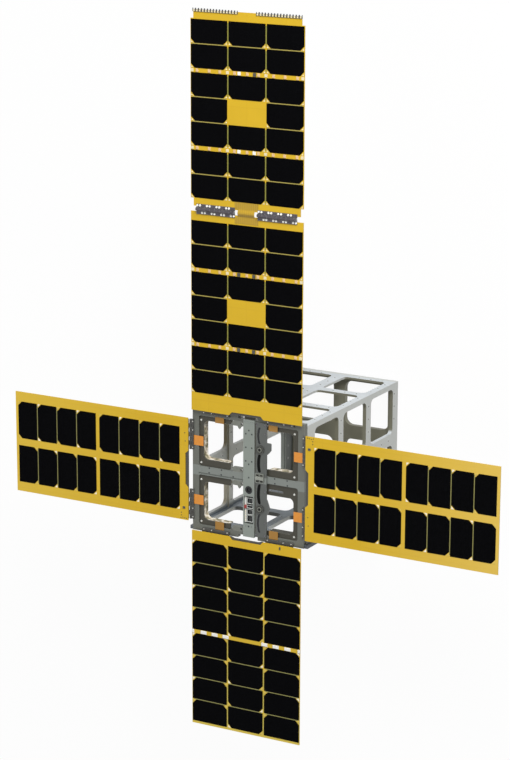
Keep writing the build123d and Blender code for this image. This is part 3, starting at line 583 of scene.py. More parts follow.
# %% Fingers
fingers, fingers_in, fingers_out = new_group(
    "cell_fingers", {"Pitch": FLOAT, "Share": FLOAT, "Turned": FLOAT}, Mask=FLOAT)
finger_axes = axes_of(fingers)
keep = math_node(fingers, "SUBTRACT", 1.0, fingers_in["Turned"])
across = math_node(fingers, "ADD", math_node(fingers, "MULTIPLY", finger_axes["X"], keep),
                   math_node(fingers, "MULTIPLY", finger_axes["Y"], fingers_in["Turned"]))
step = math_node(fingers, "FRACT", math_node(fingers, "DIVIDE", across, fingers_in["Pitch"]))
fingers.links.new(math_node(fingers, "LESS_THAN", step, fingers_in["Share"]), fingers_out["Mask"])


def striped(name, color, surface, stripe, strength, pitch, share, swap):
    """Finish with faint stripes, across X or, swapped, across Y."""
    tree = finish(name, color, *surface)
    lines = placed(tree, fingers, Pitch=pitch, Share=share, Turned=swap)[0]
    overlaid(tree, math_node(tree, "MULTIPLY", lines, strength), linear(*stripe))
    return tree


COVER_GLASS = (0.16, 0.0, 22.0, 0.5, 900.0, 0.06, 0.000004)
FILM = (0.3, 0.0, 120.0, 0.2, 1500.0, 0.14, 0.00003)
CELL = ((4, 4, 5), COVER_GLASS, (96, 98, 108), 0.16, 0.0016, 0.06)
COATED_IOR = 1.07
for name, swap in (("cell_upright", 0.0), ("cell_sideways", 1.0)):
    cell = striped(name, *CELL, swap)
    cell.nodes["Principled BSDF"].inputs["IOR"].default_value = COATED_IOR
amber = striped("amber_film", (230, 151, 56), FILM, (218, 132, 42), 0.55, 0.0025, 0.5, 1.0)
striped("brown_film", (188, 152, 36), FILM, (172, 136, 34), 0.55, 0.0042, 0.5, 0.0)
# Painted shade: the upper and lower tails are coloured a darker amber for the shade they lie in.
END_TAILS, PAINTED_SHADE_AMBER = 0.075, (162, 117, 44)     # the upper and lower tails are a darker amber
for side in (UP, DOWN):
    overlaid(amber, within(amber, 1.0, (side, END_TAILS - MM, END_TAILS)), linear(*PAINTED_SHADE_AMBER))
print("finishes:", len(finishes))

# %% [markdown]
# ### Dressing the solids
# Each solid keeps its shape and gets its finish in its material slot. A table of finishes and
# solids is easier to hold against the photograph than a line of code for each solid.

# %% Dress the solids
DRESS = (
    ("milled_aluminium", ("wall_top", "wall_right")),
    ("left_aluminium", ("wall_left",)),
    ("lower_aluminium", ("wall_bottom",)),
    ("rear_aluminium", ("rear_frame",)),
    ("tab_anodised", ("dispenser_tabs",)),
    ("front_aluminium", ("front_frame",)),
    ("spine_sheet", ("spine_plate",)),
    ("clasp_metal", ("release_clasp",)),
    ("dark_anodised", ("window_rings",)),
    ("clip_metal", ("spine_clips",)),
    ("release_anodised", ("release_plate",)),
    ("hub_metal", ("release_hubs",)),
    ("liner_composite", ("window_liners",)),
    ("hinge_anodised", ("hinge_base_top", "hinge_base_bottom", "hinge_base_left", "hinge_base_right",
                        "top_inner_leaf", "bottom_leaf", "left_leaf", "right_leaf", "edge_combs")),
    ("hinge_leaf", ("mid_leaf_inner", "mid_leaf_outer")),
    ("bright_steel", ("root_pins", "mid_pins")),
    ("golden_board", ("top_inner_panel", "top_outer_panel", "bottom_panel", "left_panel", "right_panel")),
    ("cell_upright", ("top_inner_cells", "top_outer_cells", "bottom_cells")),
    ("cell_sideways", ("left_cells", "right_cells")),
    ("amber_film", ("flex_tails",)),
    ("black_plastic", ("umbilical_port", "service_sockets", "release_springs")),
    ("white_plastic", ("status_strip",)),
    ("red_plastic", ("arming_plug",)),
)
for material, names in DRESS:
    for name in names:
        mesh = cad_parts[name].data
        mesh.materials.clear()
        mesh.materials.append(finishes[material])
print("dressed:", sum(len(names) for _, names in DRESS), "solids")

# %% [markdown]
# ## Small parts, stamped
# A screw, a pad or a plated hole occurs dozens of times. We model one of each in millimetres as a
# *master* (its points and faces), and stamp it at many places into one mesh per body. That
# is lighter than many objects, and each mesh moves with its own body.

# %% Stamping helpers
ROUND = 30                               # degrees; sharper edges of a round master stay sharp


def at(x, y, z, side=FRONT, spin=0.0):
    """Place for a master: millimetres to metres, its +Z turned to a side."""
    turn = Vector(FRONT).rotation_difference(Vector(side)).to_matrix().to_4x4()
    move = Matrix.Translation(Vector((x, y, z)) * MM)
    return move @ turn @ Matrix.Rotation(spin, 4, "Z") @ Matrix.Scale(MM, 4)


def piece_of(name, points, faces, material, smooth):
    """A piece with its faces turned outwards, shaded smooth up to an angle, or flat."""
    mesh = bpy.data.meshes.new(name)
    mesh.from_pydata(points, [], faces)
    turned_out = bmesh.new()
    turned_out.from_mesh(mesh)
    bmesh.ops.recalc_face_normals(turned_out, faces=turned_out.faces)
    turned_out.to_mesh(mesh)
    turned_out.free()
    if smooth:
        mesh.shade_smooth()
        mesh.set_sharp_from_angle(angle=math.radians(smooth))
    mesh.materials.append(finishes[material])
    piece = bpy.data.objects.new(name, mesh)
    scene.collection.objects.link(piece)
    print(name, "faces:", len(mesh.polygons))
    return piece


def stamped(name, master, places, material, body, smooth=None):
    """One piece with a copy of the master at every place, riding on a body."""
    points, faces = master
    verts, loops = [], []
    for place in places:
        first = len(verts)
        verts.extend(place @ Vector(p) for p in points)
        loops.extend([first + i for i in face] for face in faces)
    piece = piece_of(name, verts, loops, material, smooth)
    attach(piece, body)


print("stamping ready")

# %% [markdown]
# Every master is a skin over rings of points. *Turned masters* come from a profile of rings, from
# the outside bottom to the middle of the top. A ring may be round or six-sided, which is all that
# a socket screw needs: a round head with a chamfer, then a six-sided recess.

# %% Turned masters
def lofted(rings, capped=True):
    """Skin over rings of equally many points; without caps the last ring joins the first."""
    count, points = len(rings[0]), [point for ring in rings for point in ring]
    faces = []
    for ring in range(len(rings) - capped):
        low, high = ring * count, (ring + 1) % len(rings) * count
        for i in range(count):
            j = (i + 1) % count
            faces.append((low + i, low + j, high + j, high + i))
    if capped:
        faces += [tuple(reversed(range(count))), tuple(range(len(points) - count, len(points)))]
    return points, faces


def turned(rings, sides=24):
    """Closed solid of rings (radius, height, corners); corners 0 is round."""
    skin = []
    for radius, height, corners in rings:
        ring = []
        for i in range(sides):
            angle, reach = 2 * math.pi * i / sides, radius
            if corners:
                half = math.pi / corners
                reach = radius * math.cos(half) / math.cos((angle % (2 * half)) - half)
            ring.append((reach * math.cos(angle), reach * math.sin(angle), height))
        skin.append(ring)
    return lofted(skin)


def socket_screw(radius, height):
    """Button-headed screw with a six-sided socket."""
    chamfer = radius * 0.28
    hexagon, deep = radius * 0.52, height * 0.6
    return turned(((radius, -0.1, 0), (radius, height - chamfer, 0), (radius - chamfer, height, 0),
                   (hexagon, height, 6), (hexagon * 0.96, height - deep, 6)))


def eyelet(radius, bore, height):
    """Collar of a threaded insert, dished towards its bore."""
    return turned(((radius, -0.05, 0), (radius, height * 0.6, 0), (radius * 0.92, height, 0),
                   (bore, height * 0.9, 0), (bore * 0.98, height * 0.25, 0)), 16)


def plug(radius, height):
    """Slightly dished dark disc that stands for the depth of a bore."""
    return turned(((radius, -0.04, 0), (radius, height, 0), (radius * 0.6, height * 0.8, 0)), 14)


print("turned masters ready")

# %% [markdown]
# *Chips* are the chamfered little blocks that surface-mounted parts and pads are: a foot,
# upright sides and a bevelled top. A corner pad is the same with three sides, and a rim is a low
# frame with a bevelled inner edge.

# %% Chip masters
RIM_WIDE, RIM_HIGH = 0.9, 0.5
SLANT = 2.4                              # by how much a corner pad's leg shortens with its inset


def oblong(width, length, inset, level):
    """The four corners of a block at one level."""
    w, h = width / 2 - inset, length / 2 - inset
    return [(-w, -h, level), (w, -h, level), (w, h, level), (-w, h, level)]


def bevelled(height, bevel):
    """Inset and level of the foot, the shoulder and the top."""
    return (0.0, 0.0), (0.0, height - bevel), (bevel, height)


def chip(width, length, height, bevel):
    """Block with a bevelled top, standing on Z = 0."""
    return lofted([oblong(width, length, *ring) for ring in bevelled(height, bevel)])


def corner_pad(leg, height, bevel):
    """Three-sided pad with its square corner at the origin, running to -X and -Y."""
    rings = []
    for inset, level in bevelled(height, bevel):
        far = leg - SLANT * inset
        rings.append([(-inset, -inset, level), (-far, -inset, level), (-inset, -far, level)])
    return lofted(rings)


def rim(width, length):
    """Flat frame with a bevelled inner edge, standing on Z = 0."""
    profile = (0.0, 0.0), (0.0, RIM_HIGH), (RIM_WIDE * 0.6, RIM_HIGH), (RIM_WIDE, 0.0)
    return lofted([oblong(width, length, *ring) for ring in profile], capped=False)


print("chip masters ready")

# %% [markdown]
# ## Cells: corner pads and links
# Every cell has two cropped corners, and the free corner of the board carries a small tinned pad
# where the bypass diode sits. On the side wings every second pad, counted from the body, is coated
# over and looks dull, and on the lower wing bright and dull ones alternate from row to row. On the
# upper wing the pads are golden with one bright dot. Neighbouring cells of a string are joined by
# a thin link in the gap, and on the wide wings a trace runs between the columns. The places come
# from the cells: we split each cell node into its solids and see which corners of a box stay empty.

# %% Read the cells
CORNERS = {(1, 1): 0, (-1, 1): 90, (-1, -1): 180, (1, -1): 270}     # signs and turn of a corner
NEAR = 1                                 # millimetres within which two places count as the same


def solids_of(name):
    """The separate solids of a node, each as a list of its points in millimetres."""
    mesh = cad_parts[name].data
    points = [tuple(round(c / MM, 3) for c in v.co) for v in mesh.vertices]
    leader = {p: p for p in points}

    def lead(p):
        while leader[p] != p:
            leader[p] = leader[leader[p]]
            p = leader[p]
        return p

    for face in mesh.polygons:
        first = lead(points[face.vertices[0]])
        for i in face.vertices[1:]:
            leader[lead(points[i])] = first
    groups = {}
    for p in leader:
        groups.setdefault(lead(p), []).append(p)
    return list(groups.values())


def box_of(points):
    """Lowest and highest X, then Y."""
    xs, ys, _ = zip(*points)
    return min(xs), max(xs), min(ys), max(ys)


def cells_of(name):
    """Box of each cell and the signs of its cropped corners."""
    cells = []
    for points in solids_of(name):
        box, cropped = box_of(points), []
        for sx, sy in CORNERS:
            cx, cy = box[sx > 0], box[2 + (sy > 0)]
            if min(abs(p[0] - cx) + abs(p[1] - cy) for p in points) > NEAR:
                cropped.append((sx, sy))
        cells.append((box, cropped))
    return sorted(cells)


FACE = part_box("right_panel")[1].z / MM
# The body of each wing, and the axis along which its strings run.
WINGS = {"top_inner": ("top_inner", 1), "top_outer": ("top_outer", 1), "bottom": ("bottom_wing", 1),
         "left": ("left_wing", 0), "right": ("right_wing", 0)}
CELLS = {wing: cells_of(f"{wing}_cells") for wing in WINGS}
print({wing: len(cells) for wing, cells in CELLS.items()}, "board face", round(FACE, 2))

# %% [markdown]
# Pads, dots, links and traces are thin foil and solder. They could be painted on the board by a
# mask, but as low chips with a bevel they catch the light at their edges, as the real ones do.

# %% Corner pads and links
PAD_LEG, PAD_IN = 5.2, 0.2
THIN, THIN_BEVEL = 0.3, 0.1              # height of pads, dots and links
DOT_SIDE, DOT_IN, DOT_LIFT = 1.5, 1.6, 0.25
LINK_WIDE, LINK_SHORT, LINK_GAP = 1.6, 5.0, 4.5
TRACE_SHORT, TRACE_HIGH, TRACE_BEVEL = 6.0, 0.2, 0.06
TRACES = {"top_inner": (2.3, "olive_trace"), "top_outer": (2.3, "olive_trace"),
          "bottom": (1.7, "golden_trace")}
LINKS = {"top_inner": "warm_link", "top_outer": "warm_link"}     # grey on the other wings
PADS = {"bright": "bright_pad", "dull": "coated_pad", "golden": "golden_pad"}


def links_of(cells, axis):
    """Middle of the link in each narrow gap between cells of one row or column."""
    found = []
    for a, _ in cells:
        for b, _ in cells:
            gap = b[2 * axis] - a[2 * axis + 1]
            same = abs(a[2 - 2 * axis] - b[2 - 2 * axis]) < NEAR
            if same and 0 < gap < LINK_GAP:
                middle = [(a[0] + a[1]) / 2, (a[2] + a[3]) / 2]
                middle[axis] = (b[2 * axis] + a[2 * axis + 1]) / 2
                found.append(at(*middle, FACE))
    return found


def pad_look(wing, box, sx, rank):
    """Whether a corner pad is bright, dull or golden."""
    if wing in ("left", "right"):
        return "dull" if rank % 2 else "bright"
    if wing != "bottom":
        return "golden"
    column = round((box[0] + box[1]) / (box[1] - box[0]) / 2)
    if column * sx < 0:
        return "dull"
    return "bright" if rank % 2 == (column == 0 and sx < 0) else "dull"


for wing, (body, axis) in WINGS.items():
    pads, dots = {look: [] for look in PADS}, []
    ranks = sorted({abs(box[2 * axis] + box[2 * axis + 1]) for box, _ in CELLS[wing]})
    for box, cropped in CELLS[wing]:
        rank = ranks.index(abs(box[2 * axis] + box[2 * axis + 1]))
        for sx, sy in cropped:
            look = pad_look(wing, box, sx, rank)
            x, y = box[sx > 0] - sx * PAD_IN, box[2 + (sy > 0)] - sy * PAD_IN
            pads[look].append(at(x, y, FACE, spin=math.radians(CORNERS[sx, sy])))
            if look == "golden":
                dots.append(at(x - sx * DOT_IN, y - sy * DOT_IN, FACE + DOT_LIFT))
    for look, places in pads.items():
        if places:
            stamped(f"{wing}_{look}_pads", corner_pad(PAD_LEG, THIN, THIN_BEVEL), places, PADS[look],
                    body)
    if dots:
        stamped(f"{wing}_pad_dots", chip(DOT_SIDE, DOT_SIDE, THIN, THIN_BEVEL), dots, "bright_pad",
                body)
    x0, x1, y0, y1 = CELLS[wing][0][0]
    size = (x1 - x0 - LINK_SHORT, LINK_WIDE) if axis else (LINK_WIDE, y1 - y0 - LINK_SHORT)
    stamped(f"{wing}_cell_links", chip(*size, THIN, THIN_BEVEL), links_of(CELLS[wing], axis),
            LINKS.get(wing, "grey_link"), body)
    if wing in TRACES:
        wide, material = TRACES[wing]
        trace = chip(wide, y1 - y0 - TRACE_SHORT, TRACE_HIGH, TRACE_BEVEL)
        stamped(f"{wing}_column_traces", trace, links_of(CELLS[wing], 0), material, body)

# %% [markdown]
# ## Strips of small parts
# Across the upper wing's boards run two strips of small parts each, and across the lower wing one of
# white blocks. The strips lie where the gap between rows is wide, so their height on the
# board is measured from the cells again. The places along the strip follow the photograph.

# %% Find the strips
WIDE_GAP = (5, 15)


def strips_of(wing):
    """Middle of each wide gap between rows, along Y."""
    rows = sorted({(box[2], box[3]) for box, _ in CELLS[wing]})
    return [(a[1] + b[0]) / 2 for a, b in zip(rows, rows[1:]) if WIDE_GAP[0] < b[0] - a[1] < WIDE_GAP[1]]


STRIPS = {wing: strips_of(wing) for wing in ("top_inner", "top_outer", "bottom")}
print({wing: [round(y, 1) for y in ys] for wing, ys in STRIPS.items()})

# %% [markdown]
# The small parts are plain chips of a few sizes, so a strip is a size and a list of places. Only
# the pair in the middle of a strip differs between the boards.

# %% Fill the strips
CREAM_AT = (-108, -38, 37, 108)
PINK_AT = (-98, -74, -53, -24, 1, 23, 52, 74, 98)
PAIR_AT = (-15, 15)
BLOCKS_AT, ENDS_AT = (-87, -64, -41, 39, 62, 86), (-109, 109)
CREAM_SIZE, PINK_SIZE, PAIR_SIZE = (5.6, 5.2, 0.5, 0.15), (5.0, 5.6, 1.0, 0.3), (6.0, 6.0, 1.2, 0.3)
BLOCK_SIZE, END_SIZE = (12.2, 6.0, 1.2, 0.3), (4.4, 6.0, 1.2, 0.3)


def strip(name, size, spots, material, wing):
    """Chips on the board of a wing."""
    places = [at(x, y, FACE) for x, y in spots]
    stamped(name, chip(*size), places, material, WINGS[wing][0])


for wing in ("top_inner", "top_outer"):
    cream, pink = ([(x, y) for y in STRIPS[wing] for x in row] for row in (CREAM_AT, PINK_AT))
    strip(f"{wing}_strip_pads", CREAM_SIZE, cream, "tinned_pad", wing)
    strip(f"{wing}_strip_parts", PINK_SIZE, pink, "ceramic_part", wing)
pairs = {wing: [(x, y) for y in STRIPS[wing] for x in PAIR_AT] for wing in ("top_inner", "top_outer")}
*white_at, dark_at = pairs["top_outer"]
strip("top_outer_white_parts", PAIR_SIZE, white_at, "white_part", "top_outer")
strip("top_outer_dark_part", PAIR_SIZE, [dark_at], "dark_part", "top_outer")
strip("top_inner_dark_parts", PAIR_SIZE, pairs["top_inner"], "dark_part", "top_inner")
for name, size, row in (("white", BLOCK_SIZE, BLOCKS_AT), ("end", END_SIZE, ENDS_AT)):
    spots = [(x, STRIPS["bottom"][0]) for x in row]
    strip(f"bottom_{name}_blocks", size, spots, "white_part", "bottom")

# %% [markdown]
# The root strips of three wings carry one small dark part each. A few plated holes lie near the root
# corners of the side wings. The left wing is the right one turned half round, and its holes follow.

# %% Sensors and plated holes at the wing roots
SENSORS = {"right": ((126.5, 72.5), (5.0, 4.0, 1.0, 0.3)), "left": ((-127.5, -72.5), (5.0, 4.0, 1.0, 0.3)),
           "bottom": ((69, -118), (2.8, 5.4, 1.0, 0.3))}
VIA_SIZE = (1.0, 0.5, 0.12)
VIAS = ((133, 87.5), (133, 82.5), (130, 91.5), (126, 92), (122.5, 92.5), (134, 92.5),
        (124.5, -52), (125.5, -67))
for wing, (spot, size) in SENSORS.items():
    strip(f"{wing}_sensor", size, [spot], "dark_part", wing)
for body, turn_sign in (("right_wing", 1), ("left_wing", -1)):
    vias = [at(turn_sign * x, turn_sign * y, FACE) for x, y in VIAS]
    stamped(f"{body}_vias", eyelet(*VIA_SIZE), vias, "bore_shadow", body, ROUND)

# %% [markdown]
# ## Middle hinge: screws and ribbon
# Each knuckle of the middle hinge stands over a pair of bright screws in its own leaf. The
# knuckles alternate between the two panels, and so do the pairs.

# %% Middle hinge screws
MID_START, MID_SLOT, MID_COUNT = 22.6, 9.6, 8
SCREW_APART, SCREW_OUT, SCREW_SIZE = 2.75, 6.2, (2.1, 0.9)
PIN_RADIUS, LEAF_HIGH = 1.0, 1.5
mid_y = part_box("mid_pins")[0].y / MM + PIN_RADIUS
for sign, body, first in ((1, "top_outer", 0), (-1, "top_inner", 1)):
    places = []
    for start in (-MID_START - MID_SLOT * MID_COUNT, MID_START):
        for i in range(first, MID_COUNT, 2):
            middle = start + MID_SLOT * (i + 0.5)
            for side in (-1, 1):
                places.append(at(middle + side * SCREW_APART, mid_y + sign * SCREW_OUT, FACE + LEAF_HIGH))
    stamped(f"{body}_hinge_screws", socket_screw(*SCREW_SIZE), places, "white_part", body,
            ROUND)
print("pin axis at y", round(mid_y, 2))

# %% [markdown]
# The ribbon is a flexible circuit that brings the outer panel's current across the hinge. A flat solid
# can't bend, so here it is a thin curved sheet that stands for it. It rises to the pin's axis between the
# two hinge units, where folding hardly changes its length. Its outline is a bridge that widens into two
# pads.

# %% Flexible ribbon
RIBBON_HALF, BRIDGE_HALF, RIBBON_REACH = 23.4, 16.6, 18.6
BRIDGE_REACH, FLARE = 4.8, 5.4
RIBBON_RISE, RIBBON_THICK, RIBBON_LIFT, ARCH_REACH = 2.6, 0.3, 0.05, 7.0
ACROSS, ALONG, BEND_REACH, RIBBON_SMOOTH = 24, 60, 4.5, 40
rings = []
for i in range(ALONG + 1):
    d = RIBBON_REACH * (2 * i / ALONG - 1)
    t = min(max((abs(d) - BRIDGE_REACH) / FLARE, 0), 1)
    half = BRIDGE_HALF + (RIBBON_HALF - BRIDGE_HALF) * t * t * (3 - 2 * t)
    arch = max(1 - (d / ARCH_REACH) ** 2, 0)
    low = FACE + RIBBON_LIFT + RIBBON_RISE * arch * arch
    row = [half * (2 * j / ACROSS - 1) for j in range(ACROSS + 1)]
    ring = [(x, low) for x in row] + [(x, low + RIBBON_THICK) for x in reversed(row)]
    rings.append([Vector((x, mid_y + d, z)) * MM for x, z in ring])
ribbon = piece_of("hinge_ribbon", *lofted(rings), "brown_film", RIBBON_SMOOTH)
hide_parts("mid_flex")
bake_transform(ribbon)

# %% [markdown]
# ## Tip combs
# Between the teeth of the two combs on the far edge lie small tinned pads. Their row is measured
# from the box of the combs, so that it stays on them.

# %% Comb pads
COMB_START, COMB_PITCH, COMB_COUNT, COMB_IN, COMB_SIZE = 18.0, 5.9, 15, 4.3, (3.0, 2.8, 0.5, 0.2)
comb_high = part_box("edge_combs")[1] / MM
comb_pads = [at(sign * (COMB_START + COMB_PITCH * (i + 0.5)), comb_high.y - COMB_IN, comb_high.z)
             for sign in (1, -1) for i in range(COMB_COUNT)]
stamped("comb_pads", chip(*COMB_SIZE), comb_pads, "tinned_pad", "top_outer")

# %% [markdown]
# ## Body: screws and threaded inserts
# The walls carry rows of small threaded inserts along their bars, which payloads are screwed to. Each
# shows as a dark dot with a fine collar. The bore is a dark disc and no hole, since at this size only
# its colour can be seen. A row is described once for the right-hand wall and turned to each side.

# %% Insert places
HALF, TOP_DROP, DEPTH = 113.15, 4.4, 366.0
TURNS = {side: Matrix.Rotation(math.radians(90 * i), 4, "Z")
         for i, side in enumerate(("right", "top", "left", "bottom"))}
WINDOW, RIB = 89.67, 19.0
# Of each wall: drop below the front's edge, thickness, first window, how far the ribs stand in
# between two windows and at the rear rail, and where the middle post is.
WALLS = {"right": (0.0, 7.0, 38.0, (1.0, 4.0), 2.0), "top": (TOP_DROP, 4.0, 38.0, (0.0, 0.0), 0.0),
         "left": (0.0, 7.0, 21.0, (3.0, 3.0), -1.2), "bottom": (TOP_DROP, 7.0, 38.0, (0.0, 0.0), 8.0)}
WINDOW_COUNT, LAST_ROW = 3, 350.5
RIB_ROW, RAIL_ROWS, SHARES = (-88, -64, -40, 40, 64, 88), (-104.0, 104.0), (0.18, 0.5, 0.82)
COLLAR_SIZE, INSERT_BORE_SIZE = (1.7, 1.2, 0.14), (1.2, 0.06)


def insert_places(side, inside):
    """Places of a wall's inserts on its outer or inner face: ribs, middle post and long rails."""
    drop, thick, first, flanges, post = WALLS[side]
    face, spots = HALF - drop - (thick if inside else 0), []
    for i in range(WINDOW_COUNT):
        near = first + (WINDOW + RIB) * i
        row = min(near + WINDOW + RIB / 2, LAST_ROW)
        flange = flanges[i == WINDOW_COUNT - 1] if inside else 0
        spots += [(face - flange, u, row) for u in RIB_ROW]
        along = [near + WINDOW * share for share in SHARES]
        spots += [(face, post, depth) for depth in along]
        if drop and not inside:
            spots += [(face, u, depth) for u in RAIL_ROWS for depth in along]
    way = LEFT if inside else RIGHT
    return [TURNS[side] @ at(x, u, DEPTH - depth, way) for x, u, depth in spots]


inserts = [place for side in TURNS for inside in (False, True) for place in insert_places(side, inside)]
stamped("wall_inserts", eyelet(*COLLAR_SIZE), inserts, "bright_steel", "bus", ROUND)
stamped("wall_insert_bores", plug(*INSERT_BORE_SIZE), inserts, "bore_shadow", "bus", ROUND)

# %% [markdown]
# The dark brackets are held by one bright screw at each end of their side bar. The beam and the spine
# show more plain bores. All of them are turned masters, so one table lists their sizes, finishes
# and places.

# %% Front screws and bores
BRACKET_TOP, SPINE_TOP = DEPTH - 2.5, DEPTH + 5.0
unit_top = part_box("release_plate")[1].z / MM
SCREW_X, SCREW_Y = (-96.8, 92.2), (92.9, 14.2, -17.4, -95.8)
UNIT_SCREWS = ((18.9, -101.5), (18.9, 101.5), (36.6, -101.5), (36.6, 101.5), (36.6, -78), (36.6, -20),
               (36.6, 30), (36.6, 86))
BEAM_BORES = ((79, 6.3), (54, 6.3), (79.5, -2.5), (54.5, -2.5), (30, -2.5))
SPINE_X = 4.4
SPINE_BORES = ((0, 89), (-6, 82.5), (6, 82.5), (-6, 57.5), (6, 57.5), (-6, 32.5), (6, 32.5),
               (0, 27), (0, 2.5), (0, -88))
ROUND_PARTS = (
    ("bracket_screws", socket_screw(2.1, 1.0), "bright_steel", "pin_steel",
     [at(x, y, BRACKET_TOP) for x in SCREW_X for y in SCREW_Y]),
    ("beam_bores", plug(1.5, 0.05), "bore_shadow", "black_plastic",
     [at(sx * x, y, DEPTH) for sx in (1, -1) for x, y in BEAM_BORES]),
    ("release_screws", socket_screw(1.5, 0.8), "hinge_leaf", "pin_steel",
     [at(x, y, unit_top) for x, y in UNIT_SCREWS]),
    ("spine_bores", plug(1.55, 0.05), "bore_shadow", "black_plastic",
     [at(SPINE_X + x, y, SPINE_TOP) for x, y in SPINE_BORES]),
)
for name, master, material, slot, places in ROUND_PARTS:
    stamped(name, master, places, material, "bus", ROUND)

# %% [markdown]
# The gap between the spine and the release unit looks black. Two dark strips there are painted shadow, the
# shadow of the spine's edge on the unit. The inner two leaf springs of the unit have a black cover, bowed
# like the slots they lie in. The clasp between them has a bright bar and two pairs of dark slots, and the
# spine ends in a dark tab.

# %% Unit covers, painted shadow strips and clasp
COVER_X, COVER_HALF, COVER_BOW, COVER_STEPS, COVER_HIGH = 25.4, 2.9, 2.2, 20, 0.2
ROUNDING, BLUNT = 14, 0.05               # how late and how far the ends of a cover narrow
COVERS = ((14.5, 47.5), (-44.0, -7.0))
# The last two values place the dark strips of painted shadow beside the spine.
TAB_OUT, TAB_SIZE, SHADE_STRIP_X, SHADE_STRIPS_Y = 3.0, (22.0, 6.0, 1.2, 0.3), 16.9, (59.0, -54.0)
BAR_DROP, SLOTS_X, SLOTS_Y = 0.4, (-3.6, 4.8), (5.4, -5.6)


def bowed_cover(low, high):
    """Flat strip bowed towards the spine, standing on Z = 0, with its ends rounded off."""
    sides = {-1: [], 1: []}
    for i in range(COVER_STEPS + 1):
        t = 2 * i / COVER_STEPS - 1
        half = COVER_HALF * math.sqrt(max(1 - abs(t) ** ROUNDING, BLUNT))
        x, y = COVER_X - COVER_BOW * (1 - t * t), (low + high) / 2 + t * (high - low) / 2
        for side, run in sides.items():
            run.append((x + side * half, y))
    outline = sides[-1][::-1] + sides[1]
    return lofted([[(x, y, z) for x, y in outline] for z in (0.0, COVER_HIGH)])


tab_place = at(SPINE_X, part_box("spine_plate")[1].y / MM + TAB_OUT, DEPTH)
stamped("spine_end_tab", chip(*TAB_SIZE), [tab_place], "dark_anodised", "bus")
for number, ends in enumerate(COVERS):
    stamped(f"spring_cover_{number}", bowed_cover(*ends), [at(0, 0, unit_top)], "cover_black", "bus")
clasp_low, clasp_high = (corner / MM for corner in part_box("release_clasp"))
clasp_x, clasp_y, clasp_top = *((clasp_low + clasp_high) / 2).xy, clasp_high.z
BUS_CHIPS = (
    # Painted shadow: two dark strips by the spine stand for the shadow of its edge on the unit.
    ("unit_shade_strips", (1.6, 90.0, 0.3, 0.1), "dark_anodised", "black_plastic",
     [(SHADE_STRIP_X, y, unit_top) for y in SHADE_STRIPS_Y]),
    ("clasp_bar", (16.4, 5.6, 0.8, 0.3), "clasp_bar", "pale_aluminium",
     [(clasp_x, clasp_y - BAR_DROP, clasp_top)]),
    # Painted shade: the flat dark chips stand for the shade inside the clasp's slots.
    ("clasp_slots", (5.0, 2.4, 0.1, 0.03), "cover_black", "black_plastic",
     [(clasp_x + x, clasp_y + y, clasp_top) for x in SLOTS_X for y in SLOTS_Y]),
)
for name, size, material, slot, spots in BUS_CHIPS:
    stamped(name, chip(*size), [at(*spot) for spot in spots], material, "bus")

# %% [markdown]
# The root hinges show small bright screws on the feet between the knuckles. Their row is given once
# and turned to each side, like that of the inserts.

# %% Root hinge screws
FOOT_IN = {"right": 1.3, "top": 4.6, "left": 1.3, "bottom": 4.6}
FOOT_ROW, FOOT_TOP, FOOT_SCREW = (41, -41, 73, -73, 89, -89), DEPTH + 2.5, (1.15, 0.6)
feet = [TURNS[side] @ at(HALF - FOOT_IN[side], u, FOOT_TOP) for side in TURNS for u in FOOT_ROW]
stamped("root_hinge_screws", socket_screw(*FOOT_SCREW), feet, "bright_steel", "bus", ROUND)

# %% [markdown]
# ## Service bay
# The four sockets have pale rims and rows of contacts, and the strip a row of small lamps. The
# size of a rim follows the socket that it lies on.

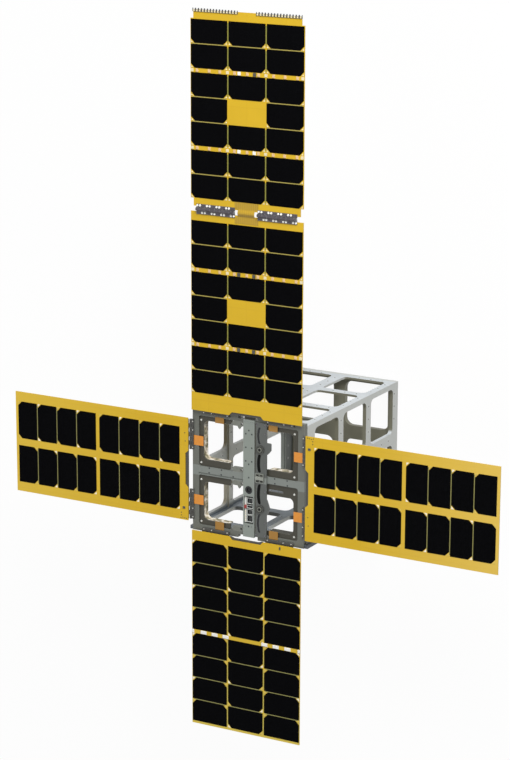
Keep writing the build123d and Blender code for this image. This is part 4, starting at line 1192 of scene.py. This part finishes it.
# %% Contacts, rims and lamps
CONTACT_PITCH, CONTACT_DEEP, CONTACT_MARGIN, CONTACT_SIZE = 2.2, 2.2, 3.0, (0.8, 0.8, 1.6, 0.2)
CONTACT_ROWS = (-2.2, 0.0, 2.2)
LAMP_FIRST, LAMP_PITCH, LAMP_COUNT = -78.0, 4.2, 5
LAMP_RINGS = ((0.9, -0.05, 0), (0.9, 0.2, 0), (0.6, 0.42, 0), (0.2, 0.5, 0))
socket_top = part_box("service_sockets")[1].z / MM
contacts = []
for number, (x0, x1, y0, y1) in enumerate(sorted(map(box_of, solids_of("service_sockets")))):
    x, y = (x0 + x1) / 2, (y0 + y1) / 2
    stamped(f"socket_rim_{number}", rim(x1 - x0, y1 - y0), [at(x, y, socket_top)], "socket_rim", "bus")
    count = int((y1 - y0 - CONTACT_MARGIN) / CONTACT_PITCH)
    for i in range(count):
        across = y + (i - (count - 1) / 2) * CONTACT_PITCH
        contacts += [at(x + side, across, socket_top - CONTACT_DEEP) for side in CONTACT_ROWS]
stamped("socket_contacts", chip(*CONTACT_SIZE), contacts, "release_anodised", "bus")
strip_low, strip_high = (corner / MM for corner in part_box("status_strip"))
strip_x = (strip_low.x + strip_high.x) / 2
lamps = [at(strip_x, LAMP_FIRST + LAMP_PITCH * i, strip_high.z) for i in range(LAMP_COUNT)]
stamped("status_lamps", turned(LAMP_RINGS, 16), lamps, "tinned_pad", "bus", ROUND)

# %% [markdown]
# ## Floor
# The satellite stands on its rear end on a plain pale floor, which fills the picture behind
# it. To camera, mirror and glass rays the floor is mostly plain white; the rest is an
# ordinary matt surface, which keeps the soft shadow. To all other rays it is a mid grey.

# %% Lay the floor
FLOOR_WHITE, FLOOR_REACH, FLOOR_SIDES = 0.955, 14.0, 64
FLOOR_BOUNCE = (120, 120, 118)
floor_mesh = bpy.data.meshes.new("floor")
turns = [2 * math.pi * i / FLOOR_SIDES for i in range(FLOOR_SIDES)]
edge = [(FLOOR_REACH * math.cos(turn), FLOOR_REACH * math.sin(turn), 0) for turn in turns]
floor_mesh.from_pydata(edge, [], [tuple(range(FLOOR_SIDES))])
floor = bpy.data.objects.new("floor", floor_mesh)
scene.collection.objects.link(floor)
tree = finish("studio_paper", (252, 252, 251), 0.8, 0.0, 3.0, 0.02)
shader = tree.nodes["Principled BSDF"]
shader.inputs["Specular IOR Level"].default_value = 0.0
rays = seen_rays(tree)
overlaid(tree, math_node(tree, "SUBTRACT", 1.0, rays), linear(*FLOOR_BOUNCE))
glow = tree.nodes.new("ShaderNodeEmission")
glow.inputs["Color"].default_value = (1, 1, 1, 1)
both = tree.nodes.new("ShaderNodeMixShader")
tree.links.new(math_node(tree, "MULTIPLY", rays, FLOOR_WHITE), both.inputs[0])
tree.links.new(shader.outputs[0], both.inputs[1])
tree.links.new(glow.outputs[0], both.inputs[2])
tree.links.new(both.outputs[0], tree.nodes["Material Output"].inputs["Surface"])
floor_mesh.materials.append(finishes["studio_paper"])
print("floor reach", FLOOR_REACH)
